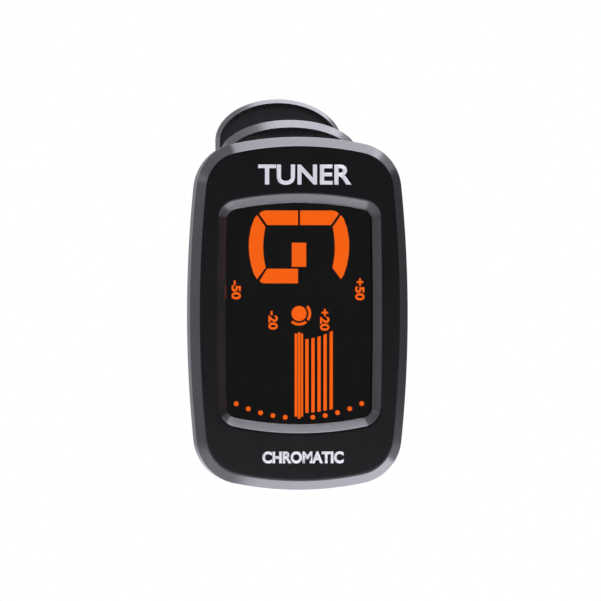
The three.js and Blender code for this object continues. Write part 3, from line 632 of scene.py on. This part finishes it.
def slab(name, axis, ring, start, end, edge=0.0):
    """A ring of two coordinates, extruded along an axis, with its ends drawn in by edge."""
    ca = sum(p[0] for p in ring) / len(ring)
    cb = sum(p[1] for p in ring) / len(ring)
    reach_a = max(abs(p[0] - ca) for p in ring)
    reach_b = max(abs(p[1] - cb) for p in ring)
    stations = [(start, edge), (start + edge, 0), (end - edge, 0), (end, edge)]
    if not edge:
        stations = [(start, 0), (end, 0)]
    rings = []
    for at, inset in stations:
        ka, kb = 1 - inset / reach_a, 1 - inset / reach_b
        drawn = [(ca + (a - ca) * ka, cb + (b - cb) * kb) for a, b in ring]
        rings.append([on_axis(axis, at, a, b) for a, b in drawn])
    return lofted(name, rings)


def block(name, x0, x1, y0, y1, z0, z1, edge=0.0):
    ring = [(x0, z0), (x1, z0), (x1, z1), (x0, z1)]
    return slab(name, "Y", ring, y0, y1, edge)


def tube(name, path, radius):
    """A round wire along a path, with its ends slightly drawn in."""
    points = [Vector(p) for p in path]
    up = Vector((1, 0, 0))
    rings = []
    last = len(points) - 1
    for i, p in enumerate(points):
        along = (points[min(i + 1, last)] - points[max(i - 1, 0)]).normalized()
        side = (up - along * up.dot(along)).normalized()
        up = side
        other = along.cross(side)
        r = radius * (0.8 if i in (0, last) else 1)
        ring = []
        for k in range(WIRE_SIDES):
            t = 2 * math.pi * k / WIRE_SIDES
            ring.append(tuple(p + side * r * math.cos(t) + other * r * math.sin(t)))
        rings.append(ring)
    return lofted(name, rings)


def combined(target, tool, how):
    """target with tool cut away ("DIFFERENCE"), added ("UNION") or kept inside ("INTERSECT")."""
    change = target.modifiers.new("change", "BOOLEAN")
    change.solver = "EXACT"
    change.operation = how
    change.object = tool
    bpy.context.view_layer.update()
    shown = target.evaluated_get(bpy.context.evaluated_depsgraph_get())
    mesh = bpy.data.meshes.new_from_object(shown)
    target.modifiers.clear()
    target.data = mesh
    bpy.data.objects.remove(tool)
    return target


def cut(target, *tools):
    for tool in tools:
        combined(target, tool, "DIFFERENCE")


def add(target, *tools):
    for tool in tools:
        combined(target, tool, "UNION")


def softened(thing, edge, limit=32, segments=3):
    """Rounds the crisp edges of a thing and shades the rest smoothly."""
    for polygon in thing.data.polygons:
        polygon.use_smooth = True
    if edge:
        weld = thing.modifiers.new("weld", "WELD")
        weld.merge_threshold = WELD * MM
        bevel = thing.modifiers.new("edges", "BEVEL")
        bevel.width = edge * MM
        bevel.segments = segments
        bevel.limit_method = "ANGLE"
        bevel.angle_limit = math.radians(limit)
        bevel.miter_outer = "MITER_ARC"
        bevel.use_clamp_overlap = True
    normals = thing.modifiers.new("normals", "WEIGHTED_NORMAL")
    normals.keep_sharp = True


def placed(thing, body, slot, nodes=(), edge=0.0):
    """Finishes a new piece: rounds its edges, gives it the material that slot names, hangs it on
    its body and hides the CAD nodes it stands for.
    """
    thing.data.materials.clear()
    thing.data.materials.append(MATERIALS[slot])
    softened(thing, edge)
    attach(thing, body)
    if nodes:
        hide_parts(*nodes)
    return thing


# ------------------------------------------------------------------ head


def front_cover():
    """One closed shell: outer wall, rim chamfer, face, window band, opening and inside."""
    outer = [(SEAM_EDGE, SEAM_Y), (0, SEAM_Y - SEAM_EDGE), (0, FACE_Y + RIM), (RIM, FACE_Y)]
    outer.append((RIM + EDGE_RUN, FACE_Y))
    band = [(BAND + EDGE_RUN, FACE_Y), (BAND, FACE_Y), (BAND_END, FACE_Y + BAND - BAND_END)]
    opening = [band[-1], (0, FACE_Y + BAND), (UNDERCUT, FACE_Y + FACE_T)]
    rings = [head_ring(inset, y) for inset, y in eased(outer, EDGE)]
    for grow, y in eased(band, EDGE) + eased(opening, OPENING_EDGE)[1:]:
        rings.append(window_ring(grow, y))
    rings.append(head_ring(WALL, FACE_Y + FACE_T))
    rings.append(head_ring(WALL, SEAM_Y))
    return placed(lofted("head_front", rings, True), "head", "case_gloss", ["front_cover"])


def rear_form(name, inside=True):
    """The rear cover's outer form: hollow, with the lip that closes the seam, or solid."""
    rings = []
    if inside:
        rings.append(head_ring(REAR_INSET + WALL, BACK_Y - WALL))
        rings.append(head_ring(REAR_INSET + WALL, LIP_Y))
        rings.append(head_ring(REAR_INSET + LIP_STEP, LIP_Y))
        rings.append(head_ring(REAR_INSET + LIP_STEP, REAR_Y))
    outer = [
        (REAR_INSET + SEAM_EDGE, REAR_Y),
        (REAR_INSET, REAR_Y + SEAM_EDGE),
        (REAR_INSET, BACK_Y - REAR_RIM),
        (REAR_INSET + REAR_RIM, BACK_Y),
        (REAR_INSET + REAR_RIM + EDGE_RUN, BACK_Y),
    ]
    rings += [head_ring(inset, y) for inset, y in eased(outer, EDGE)]
    return lofted(name, rings)


def door_form(grow):
    """The door's tee section: the outer plate and the wider tongue in the cover's grooves."""
    low, top = DOOR_LOW.z - grow, FAR
    front = DOOR_LOW.y
    half = DOOR_HIGH.x + grow
    plate = half - TONGUE_REACH
    outer = block("tool", -plate, plate, front + PLATE_STEP, BACK_Y + 2, low, top)
    add(outer, block("tool", -half, half, front - grow, front + TONGUE_T + grow, low, top))
    return outer


def hinge_ear(side):
    """One of the two ears for the tilt pin, with a gusset up the cover's back."""
    x0, x1 = sorted((side * HINGE_EAR_IN, side * (HINGE_EAR_IN + HINGE_EAR_T)))
    root = BACK_Y - HINGE_EAR_ROOT
    profile = arc((TILT_Y, TILT_Z), KNUCKLE_R, -math.pi / 2, math.pi / 2, 24)
    profile += [(root, TILT_Z + KNUCKLE_R + GUSSET_H), (root, TILT_Z - KNUCKLE_R)]
    return slab("tool", "X", profile, x0, x1, HINGE_EAR_EDGE)


def rear_cover():
    """The shell, opened for the door, cell, screws and button, with the hinge ears added."""
    body = rear_form("head_rear")
    cell_z = (CELL_LOW.z + CELL_HIGH.z) / 2
    cell_r = CELL_HIGH.x + COVER_GAP
    cut(body, door_form(COVER_GAP))
    cut(body, round_bar("tool", "Y", cell_r, BACK_Y - CELL_BAY_DEPTH, BACK_Y + 2, 0, cell_z, 64))
    for node in SCREW_NODES:
        low, high = node_box(node)
        x, z = (low.x + high.x) / 2, (low.z + high.z) / 2
        boss_foot = BOARD_BACK + BOSS_GAP
        shank_foot = BACK_Y - SHANK_HOLE_DEPTH
        add(body, round_bar("tool", "Y", BOSS_R, boss_foot, BACK_Y - BOSS_TOP, x, z))
        cut(body, round_bar("tool", "Y", WELL_R, BACK_Y - WELL_DEPTH, BACK_Y + 1, x, z))
        cut(body, round_bar("tool", "Y", SHANK_HOLE_R, shank_foot, BACK_Y + 1, x, z))
    half_w, half_l = BUTTON_HALF_W + COVER_GAP, BUTTON_HALF_L + COVER_GAP
    hole = [(y + BUTTON_Y, z + BUTTON_Z) for y, z in rounded_rect(half_w, half_l, half_w - 0.05)]
    cut(body, slab("tool", "X", hole, HEAD_HALF_W - 3, HEAD_HALF_W + 3))
    add(body, hinge_ear(-1), hinge_ear(1))
    cut(body, round_bar("tool", "X", TILT_BORE_R, -FAR, FAR, TILT_Y, TILT_Z))
    return placed(body, "head", "case_gloss", ["rear_cover"], REAR_EDGE)


def battery_door():
    """The door's section, cut to the cover's outer form; the arrow shows which way it slides."""
    body = door_form(0)
    combined(body, rear_form("tool", False), "INTERSECT")
    body.name = "battery_hatch"
    ring = rounded_rect(GROOVE_HALF_W, GROOVE_HALF_H, GROOVE_HALF_H - 0.01)
    for i in range(GROOVES):
        z = DOOR_LOW.z + GROOVE_FIRST + i * GROOVE_PITCH
        groove = [(x, z + GROOVE_HALF_H + b) for x, b in ring]
        cut(body, slab("tool", "Y", groove, BACK_Y - GROOVE_DEPTH, BACK_Y + 1))
    arrow_z = DOOR_LOW.z + ARROW_FOOT
    arrow = [(-ARROW_HALF_W, arrow_z), (ARROW_HALF_W, arrow_z), (0, arrow_z + ARROW_H)]
    cut(body, slab("tool", "Y", arrow, BACK_Y - ARROW_DEPTH, BACK_Y + 1))
    return placed(body, "door", "case_gloss", ["battery_door"], DOOR_EDGE)


def display_window():
    """The lens: a block that fills the opening, on a wider flange behind the face."""
    low, high = LENS_LOW.y, LENS_HIGH.y
    step = FACE_Y + FACE_T + LENS_SEAT
    path = [(-LENS_GAP - LENS_EDGE, low), (-LENS_GAP, low + LENS_EDGE), (-LENS_GAP, step)]
    path += [(LENS_FLANGE, step), (LENS_FLANGE, high)]
    rings = [window_ring(grow, y) for grow, y in path]
    return placed(lofted("display_window", rings), "head", "lens", ["display_lens"])


def power_button():
    """The key: a flange inside the wall, a rounded cap with a shallow dish, and a stem."""
    face_x = BUTTON_HIGH.x
    flange_x = HEAD_HALF_W - REAR_INSET - WALL - 2 * COVER_GAP
    stem_x = BUTTON_LOW.x
    w, length = BUTTON_HALF_W, BUTTON_HALF_L
    # From the flange out to the dish, as (x, half width, half length).
    sections = [
        (flange_x - 0.6, w + 0.2, length + 0.6),
        (flange_x, w + 0.2, length + 0.6),
        (flange_x + 0.01, w, length),
        (face_x - 0.3, w, length),
        (face_x - 0.1, w - 0.1, length - 0.1),
        (face_x, w - 0.35, length - 0.35),
        (face_x - 0.08, w - 0.5, length - 0.5),
    ]
    rings = []
    for x, half_y, half_z in sections:
        ring = rounded_rect(half_y, half_z, half_y * 0.97)
        rings.append([(x, BUTTON_Y + y, BUTTON_Z + z) for y, z in ring])
    button = lofted("power_key", rings)
    y, z = BUTTON_Y, BUTTON_Z
    add(button, block("tool", stem_x, flange_x - 0.4, y - 0.5, y + 0.5, z - 0.8, z + 0.8))
    return placed(button, "button", "rubber_black", ["power_button"])


# ------------------------------------------------------------------ display and print


def flat_shapes(name, shapes, y0, y1):
    """Thin prisms from closed (x, z) outlines, in one object."""
    points, faces = [], []
    for shape in shapes:
        base, n = len(points), len(shape)
        points += [(x, y0, z) for x, z in shape] + [(x, y1, z) for x, z in shape]
        faces.append(tuple(range(base, base + n)))
        faces.append(tuple(range(base + 2 * n - 1, base + n - 1, -1)))
        faces += [
            (base + i, base + (i + 1) % n, base + n + (i + 1) % n, base + n + i) for i in range(n)
        ]
    return built(name, points, faces)


DIAL_X = 0.11  # the display's own centre line, right of the window's
INK_Y = (PANEL_FRONT - 0.06, PANEL_FRONT - 0.02)
NUMBER_H = 1.5
NUMBER_WEIGHT = 0.035
PRINT_T = 0.04
PRINT_LIFT = 0.03  # the printed words' front, before the face


def at_display(shape):
    return [(x + DIAL_X, z + HEAD_Z) for x, z in shape]


def mirrored(shape):
    return [(-x, z) for x, z in reversed(shape)]


def note_segments():
    """A lying letter in seven-segment bars: two bars above, two curved sides, a foot and a stub."""
    upper = [(-6.34, 15.77), (-5.97, 16.1), (-5.5, 16.26), (-5.2, 16.28), (-0.17, 16.28)]
    upper += [(-0.17, 13.97), (-5.07, 13.97)]
    side = [(-6.67, 15.58), (-7.1, 15.0), (-7.62, 13.6), (-7.93, 11.9), (-7.98, 10.6)]
    side += [(-7.9, 9.2), (-7.6, 7.6), (-7.15, 6.2), (-6.67, 5.42), (-5.3, 7.25)]
    side += [(-5.5, 8.2), (-5.66, 9.4), (-5.7, 10.5), (-5.64, 11.8), (-5.5, 12.9), (-5.34, 13.66)]
    foot = [(-5.07, 7.07), (-0.17, 7.07), (-0.17, 4.76), (-5.5, 4.76), (-5.95, 4.86), (-6.27, 5.15)]
    stub = [(-1.15, 11.19), (1.13, 11.19), (1.13, 7.38), (-1.15, 7.38)]
    return [upper, mirrored(upper), side, mirrored(side), foot, stub]


def ring_sector(r0, r1, start, end):
    """A part of a flat ring round the origin, between two angles in degrees."""
    a, b = math.radians(start), math.radians(end)
    return arc((0, 0), r1, a, b, MARK_STEPS) + arc((0, 0), r0, b, a, MARK_STEPS)


# The bars' tops, and their feet and the dots, lie on arcs about points on the centre line.
TOPS_Z = 6.9
FEET_Z = 6.69
DOTS_R = 23.2
DOT_R = 0.38
DOT_OFFSETS = (2.2, 4.16, 6.11, 8.06, 9.97)
# The close bars on the centre line: left and right sides, and the radii of their tops and feet.
CLOSE_BARS = [(-0.7, -0.27, 10.1, 23.0), (-0.19, 0.23, 9.9, 23.3), (0.32, 0.64, 10.1, 23.0)]
BARS = 5
BAR_FIRST = 1.0
BAR_PITCH = 0.964
BAR_W = 0.51
BAR_RADII = (11.0, 22.44)
MARK_R = 1.2
MARK_RING = (1.5, 1.93)
MARK_STEPS = 14


def swept(x, centre, radius):
    """Height at x of the arc below a centre."""
    return centre - math.sqrt(radius * radius - x * x)


def bar_shape(x0, x1, top_r, foot_r):
    tops = [(x, swept(x, TOPS_Z, top_r)) for x in (x0, x1)]
    feet = [(x, swept(x, FEET_Z, foot_r)) for x in (x1, x0)]
    return tops + feet


def needle_bars():
    """The close bars on the centre line, then more to the right."""
    shapes = [bar_shape(*sizes) for sizes in CLOSE_BARS]
    for i in range(BARS):
        x = BAR_FIRST + i * BAR_PITCH
        shapes.append(bar_shape(x, x + BAR_W, *BAR_RADII))
    return shapes


def scale_dots():
    offsets = [-x for x in reversed(DOT_OFFSETS)] + list(DOT_OFFSETS)
    middles = [(x, swept(x, FEET_Z, DOTS_R)) for x in offsets]
    return [arc(middle, DOT_R, 0, 2 * math.pi, 20)[:-1] for middle in middles]


def centre_mark():
    """A disc with two parts of a ring round it."""
    disc = arc((0, 0), MARK_R, 0, 2 * math.pi, 40)[:-1]
    return [disc, ring_sector(*MARK_RING, -37, 41), ring_sector(*MARK_RING, -132, -50)]


def lettering(name, text, centre, length, height, y, weight, turned=False, slot="print_silver"):
    """Raised generic print, facing the viewer; turned print reads downward."""
    curve = bpy.data.curves.new(name, "FONT")
    curve.body = text
    curve.size = 1.0
    curve.offset = weight
    curve.extrude = 0.02
    curve.resolution_u = 6
    writer = bpy.data.objects.new(name, curve)
    bpy.context.scene.collection.objects.link(writer)
    bpy.context.view_layer.update()
    shown = writer.evaluated_get(bpy.context.evaluated_depsgraph_get())
    mesh = bpy.data.meshes.new_from_object(shown)
    bpy.data.objects.remove(writer)
    xs = [v.co.x for v in mesh.vertices]
    ys = [v.co.y for v in mesh.vertices]
    x_mid, y_mid = (min(xs) + max(xs)) / 2, (min(ys) + max(ys)) / 2
    kx, ky = length / (max(xs) - min(xs)), height / (max(ys) - min(ys))
    for v in mesh.vertices:
        along, above = (v.co.x - x_mid) * kx, (v.co.y - y_mid) * ky
        if turned:
            along, above = above, -along
        front = y if v.co.z > 0 else y + PRINT_T
        v.co = Vector((centre[0] + along, front, centre[1] + above)) * MM
    letters = bpy.data.objects.new(name, mesh)
    bpy.context.scene.collection.objects.link(letters)
    bm = bmesh.new()
    bm.from_mesh(mesh)
    bmesh.ops.remove_doubles(bm, verts=bm.verts, dist=WELD * MM)
    bmesh.ops.recalc_face_normals(bm, faces=bm.faces)
    bm.to_mesh(mesh)
    bm.free()
    return placed(letters, "head", slot)


def display():
    for name, shapes in (
        ("note_segments", note_segments()),
        ("needle_bars", needle_bars()),
        ("scale_dots", scale_dots()),
        ("centre_mark", centre_mark()),
    ):
        piece = flat_shapes(name, [at_display(s) for s in shapes], *INK_Y)
        placed(piece, "head", "segment_orange")
    numbers = (
        ("scale_minus_fifty", "-50", (-9.98, 3.72), 3.0),
        ("scale_plus_fifty", "+50", (9.67, 3.82), 3.5),
        ("scale_minus_twenty", "-20", (-4.13, -1.08), 2.96),
        ("scale_plus_twenty", "+20", (4.08, -1.0), 3.47),
    )
    for name, text, (x, z), length in numbers:
        centre = (x + DIAL_X, z + HEAD_Z)
        sizes = (length, NUMBER_H, INK_Y[0], NUMBER_WEIGHT)
        lettering(name, text, centre, *sizes, True, "segment_orange")


def print_on_face():
    front = FACE_Y - PRINT_LIFT
    lettering("print_upper", "TUNER", (0.75, HEAD_Z + 21.9), 14.8, 3.2, front, 0.025)
    lettering("print_lower", "CHROMATIC", (0.45, HEAD_Z - 22.7), 12.9, 1.9, front, 0.045)


# ------------------------------------------------------------------ clip


def lever_side(tip, rounding, half_w):
    """The right half of a lever's outline as (x, z), from the jaw end up to the finger end."""
    half = [(JAW_HALF_W - JAW_CORNER, JAW_LOW)]
    for i in range(1, CORNER_STEPS + 1):
        t = i / CORNER_STEPS
        half.append((JAW_HALF_W - JAW_CORNER * (1 - t) ** 2, JAW_LOW + JAW_CORNER * t * t))
    corner_top = JAW_LOW + JAW_CORNER
    for i in range(1, JAW_STEPS + 1):
        half.append((JAW_HALF_W, between(corner_top, NECK_LOW, i / JAW_STEPS)))
    for i in range(1, NECK_STEPS + 1):
        width = between(JAW_HALF_W, half_w, ease(i / NECK_STEPS, 0, 1))
        half.append((width, between(NECK_LOW, NECK_HIGH, i / NECK_STEPS)))
    shoulder = tip - rounding
    for i in range(1, SIDE_STEPS):
        half.append((half_w, between(NECK_HIGH, shoulder, i / SIDE_STEPS)))
    for i in range(TIP_STEPS + 1):
        t = math.pi / 2 * i / TIP_STEPS
        half.append((half_w * math.cos(t), shoulder + rounding * math.sin(t)))
    half[-1] = (0.0, tip)
    return half


def drawn_in(half, inset):
    """The half outline moved inward."""
    out = []
    for i, (x, z) in enumerate(half):
        before = half[i - 1] if i else (x - 1, z)
        after = half[i + 1] if i < len(half) - 1 else (-half[i - 1][0], half[i - 1][1])
        dx, dz = after[0] - before[0], after[1] - before[1]
        size = math.hypot(dx, dz)
        out.append((x - dz / size * inset, z + dx / size * inset))
    out[-1] = (0.0, out[-1][1])
    return out


def lever_body(name, half, layers):
    """A curved plate from (inset, y as a function of z) layers; the first and last are filled."""
    count = len(half)
    ring_size = 2 * count - 1
    points, faces = [], []
    for inset, depth_at in layers:
        drawn = drawn_in(half, inset)
        ring = drawn + [(-x, z) for x, z in reversed(drawn[:-1])]
        points += [(x, depth_at(z), z) for x, z in ring]
    for layer in range(len(layers) - 1):
        a, b = layer * ring_size, (layer + 1) * ring_size
        for i in range(ring_size):
            j = (i + 1) % ring_size
            faces.append((a + i, a + j, b + j, b + i))
    for base in (0, (len(layers) - 1) * ring_size):
        for i in range(count - 2):
            other = ring_size - 1 - i
            faces.append((base + i, base + i + 1, base + other - 1, base + other))
        faces.append((base + count - 2, base + count - 1, base + count))
    return built(name, points, faces)


def ear(x0, x1, start, web):
    """An ear for the hinge pin: a half round from the start angle, then the web's points."""
    profile = arc((PIVOT_Y, PIVOT_Z), EAR_R, start, start + math.pi, 24)
    profile += [(y, PIVOT_Z + z) for y, z in web]
    return slab("tool", "X", profile, x0, x1, EAR_EDGE)


def front_lever():
    """The front half of the clip, with its outer ears, pin hole and swivel screw's well."""
    outer, inner = through(FRONT_OUTER), through(FRONT_INNER)
    layers = []
    for inset, depth in eased(FRONT_OUTER_EDGE, EDGE):
        layers.append((inset, lambda z, d=depth: outer(z) + d))
    for inset, depth in eased(FRONT_INNER_EDGE, 0.1):
        layers.append((inset, lambda z, d=depth: inner(z) - d))
    body = lever_body("clip_front", lever_side(FRONT_HIGH.z, FRONT_ROUND, FRONT_HALF_W), layers)
    for side in (-1, 1):
        x0, x1 = sorted((side * FRONT_EAR_IN, side * (FRONT_HALF_W - FRONT_EAR_SINK)))
        add(body, ear(x0, x1, -math.pi / 2, FRONT_WEB))
    cut(body, round_bar("tool", "X", PIN_R, -FAR, FAR, PIVOT_Y, PIVOT_Z))
    cut(body, round_bar("tool", "Y", HUB_HOLE_R, -20, 0, 0, SWIVEL_Z))
    cut(body, round_bar("tool", "Y", SCREW_WELL_R, SCREW_SEAT, 0, 0, SWIVEL_Z, 48))
    return placed(body, "clip", "clip_plastic", ["front_lever"], LEVER_EDGE)


def grip_ridges(outer):
    """Low ridges across the rear finger end's outer face."""
    turns = [math.pi * k / 8 for k in range(-8, 8)]
    ridges = []
    for i in range(RIDGES):
        y, z = outer(RIDGE_FIRST + i * RIDGE_PITCH), RIDGE_FIRST + i * RIDGE_PITCH
        profile = [(y + RIDGE_RISE * math.cos(t), z + RIDGE_HALF_H * math.sin(t)) for t in turns]
        half_w = RIDGE_HALF_W - RIDGE_TAPER * i
        ridges.append(slab("tool", "X", profile, -half_w, half_w, RIDGE_EDGE))
    return ridges


def rear_lever():
    """The rear half of the clip, with its dished finger end, inner ears and grip ridges."""
    outer, inner = through(REAR_OUTER), through(REAR_INNER)

    def dished(depth):
        return lambda z: inner(z) + depth * ease(z, DISH_LOW, DISH_HIGH)

    layers = []
    for inset, depth in eased(REAR_DISH_EDGE, 0.08):
        layers.append((inset, dished(depth)))
    for inset, depth in eased(REAR_INNER_EDGE, 0.03):
        layers.append((inset, lambda z, d=depth: inner(z) + d))
    for inset, depth in eased(REAR_OUTER_EDGE, EDGE):
        layers.append((inset, lambda z, d=depth: outer(z) - d))
    body = lever_body("clip_rear", lever_side(BACK_HIGH.z, REAR_ROUND, REAR_HALF_W), layers)
    for side in (-1, 1):
        x0, x1 = sorted((side * REAR_EAR_IN, side * REAR_EAR_OUT))
        add(body, ear(x0, x1, math.pi / 2, REAR_WEB))
    cut(body, round_bar("tool", "X", PIN_R + RUNNING, -FAR, FAR, PIVOT_Y, PIVOT_Z))
    add(body, *grip_ridges(outer))
    return placed(body, "rear_jaw", "clip_plastic", ["rear_lever"], LEVER_EDGE)


def torsion_spring():
    """The front leg down to the coil, then the turns round the pin."""
    start = FRONT_LEG_TURN
    x0 = -COIL_TURNS * COIL_PITCH / 2
    path = []
    for i in range(FRONT_LEG_STEPS):
        back = FRONT_LEG_L * (1 - i / FRONT_LEG_STEPS)
        y = PIVOT_Y + COIL_R * math.cos(start) + back * math.sin(start)
        z = PIVOT_Z + COIL_R * math.sin(start) - back * math.cos(start)
        path.append((x0, y, z))
    for i in range(COIL_STEPS + 1):
        turns = i / COIL_STEPS * COIL_TURNS
        a = start + turns * 2 * math.pi
        y, z = PIVOT_Y + COIL_R * math.cos(a), PIVOT_Z + COIL_R * math.sin(a)
        path.append((x0 + turns * COIL_PITCH, y, z))
    return placed(tube("spring_coil", path, WIRE_R), "clip", "steel", ["torsion_spring"])


# ------------------------------------------------------------------ carried-over nodes

# Each with its material slot and the rounding of its edges.
KEPT = {
    "hinge_pin": ("steel", 0.15),
    "torsion_spring_rear_leg": ("steel", 0.08),
    "front_pad": ("rubber_black", 0.12),
    "rear_pad": ("rubber_black", 0.12),
    "swivel_base": ("clip_plastic", 0.15),
    "swivel_washer": ("steel", 0.06),
    "swivel_screw": ("steel", 0.08),
    "tilt_washer_left": ("nylon_white", 0.05),
    "tilt_washer_right": ("nylon_white", 0.05),
    "tilt_pin": ("steel", 0.12),
    "display_panel": ("display_dark", 0.05),
    "light_guide": ("light_guide", 0.08),
    "backlight_led": ("nylon_white", 0.05),
    "contact_strip": ("rubber_black", 0.08),
    "circuit_board": ("board_green", 0.03),
    "controller_chip": ("chip_black", 0.05),
    "clock_crystal": ("steel", 0.12),
    "button_switch": ("chip_black", 0.06),
    "coin_cell": ("cell_steel", 0.08),
    "negative_contact": ("contact_gold", 0.03),
    "positive_contact": ("contact_gold", 0.03),
    **{name: ("steel", 0.05) for name in SCREW_NODES},
    "pickup_disc": ("disc_brass", 0.03),
    "pickup_lead_signal": ("lead_red", 0.0),
    "pickup_lead_ground": ("lead_black", 0.0),
}


def finish_kept_nodes():
    for name, (slot, edge) in KEPT.items():
        thing = frame["nodes"][name]
        thing.data.materials.clear()
        thing.data.materials.append(MATERIALS[slot])
        softened(thing, edge, limit=28, segments=2)


# ------------------------------------------------------------------ stage, light and camera


LIGHT_TINT = (0.9, 0.89, 1.0)
FILL = 0.07  # the world's light on the object, beside the white that the camera sees
FACE_MIDDLE = (0, FACE_Y, HEAD_Z)
BODY_MIDDLE = (0, 0, 20)
# Each with its place, the point that it faces, its size and its radiance. The 45 degree rim and
# window band mirror these boxes, so their edges set where each bright stretch starts and ends.
LIGHTS = (
    ("top", (136, 50, 420), (136, 50.1, 0), (418, 660), 4.25),
    ("upper_left", (-290, 10, 310), FACE_MIDDLE, (300, 470), 1.0),
    ("upper_right", (400, 10, 380), FACE_MIDDLE, (300, 300), 1.5),
    ("below", (38, 95, FLOOR_Z + 2), (38, 94.9, 0), (100, 270), 3.65),
    ("below_left", (-92, 95, FLOOR_Z + 2), (-92, 94.9, 0), (160, 270), 0.75),
    ("front", (0, -240, 620), FACE_MIDDLE, (300, 200), 4.0),
    ("left", (-500, 60, 30), FACE_MIDDLE, (420, 420), 0.9),
    ("right", (500, 60, 30), FACE_MIDDLE, (420, 420), 0.25),
    ("behind", (0, 900, 40), FACE_MIDDLE, (900, 700), 0.35),
    ("back_left", (-420, 520, 260), BODY_MIDDLE, (320, 320), 1.6),
    ("back_right", (460, 460, 160), BODY_MIDDLE, (300, 300), 1.2),
)


def area_light(name, place, toward, size, radiance):
    """A soft box at place, facing a point, that the camera doesn't see. Millimetres."""
    data = bpy.data.lights.new(name, "AREA")
    data.shape = "RECTANGLE"
    data.color = LIGHT_TINT
    data.size, data.size_y = size[0] * MM, size[1] * MM
    data.energy = radiance / LIGHT_TINT[0] * math.pi * data.size * data.size_y
    lamp = bpy.data.objects.new(name, data)
    lamp.location = Vector(place) * MM
    facing = Vector(toward) - Vector(place)
    lamp.rotation_euler = facing.to_track_quat("-Z", "Y").to_euler()
    lamp.visible_camera = False
    bpy.context.scene.collection.objects.link(lamp)


def studio():
    half = FLOOR_HALF
    floor = block("floor", -half, half, -half, half, FLOOR_Z - FLOOR_T, FLOOR_Z, 1)
    floor.data.materials.append(material("floor", (0.8, 0.8, 0.8), 0.6, tone=(3, 0.01)))
    for light in LIGHTS:
        area_light(*light)
    world = bpy.data.worlds.new("studio")
    bpy.context.scene.world = world
    world.use_nodes = True
    tree = world.node_tree
    out = tree.nodes["World Output"]
    seen = tree.nodes["Background"]
    seen.inputs["Color"].default_value = (1, 1, 1, 1)
    seen.inputs["Strength"].default_value = 1.0
    lit = tree.nodes.new("ShaderNodeBackground")
    lit.inputs["Color"].default_value = (1, 1, 1, 1)
    lit.inputs["Strength"].default_value = FILL
    rays = tree.nodes.new("ShaderNodeLightPath")
    blend = tree.nodes.new("ShaderNodeMixShader")
    link(tree, rays.outputs["Is Camera Ray"], blend.inputs[0])
    link(tree, lit.outputs[0], blend.inputs[1])
    link(tree, seen.outputs[0], blend.inputs[2])
    link(tree, blend.outputs[0], out.inputs["Surface"])
    bpy.context.scene.view_settings.view_transform = "Standard"


def camera():
    data = bpy.data.cameras.new("camera")
    data.sensor_width = 36
    data.lens = data.sensor_width * VIEW_DISTANCE / VIEW_WIDTH
    data.clip_start = 0.05
    data.clip_end = 20
    view = bpy.data.objects.new("camera", data)
    away = Vector((math.sin(VIEW_TURN), -math.cos(VIEW_TURN), 0))
    view.location = (Vector(VIEW_AIM) + away * VIEW_DISTANCE) * MM
    view.rotation_euler = (-away).to_track_quat("-Z", "Y").to_euler()
    bpy.context.scene.collection.objects.link(view)
    bpy.context.scene.camera = view


# ------------------------------------------------------------------ the object

finish_kept_nodes()
front_cover()
rear_cover()
battery_door()
display_window()
power_button()
display()
print_on_face()
front_lever()
rear_lever()
torsion_spring()
studio()
camera()

bpy.context.view_layer.update()
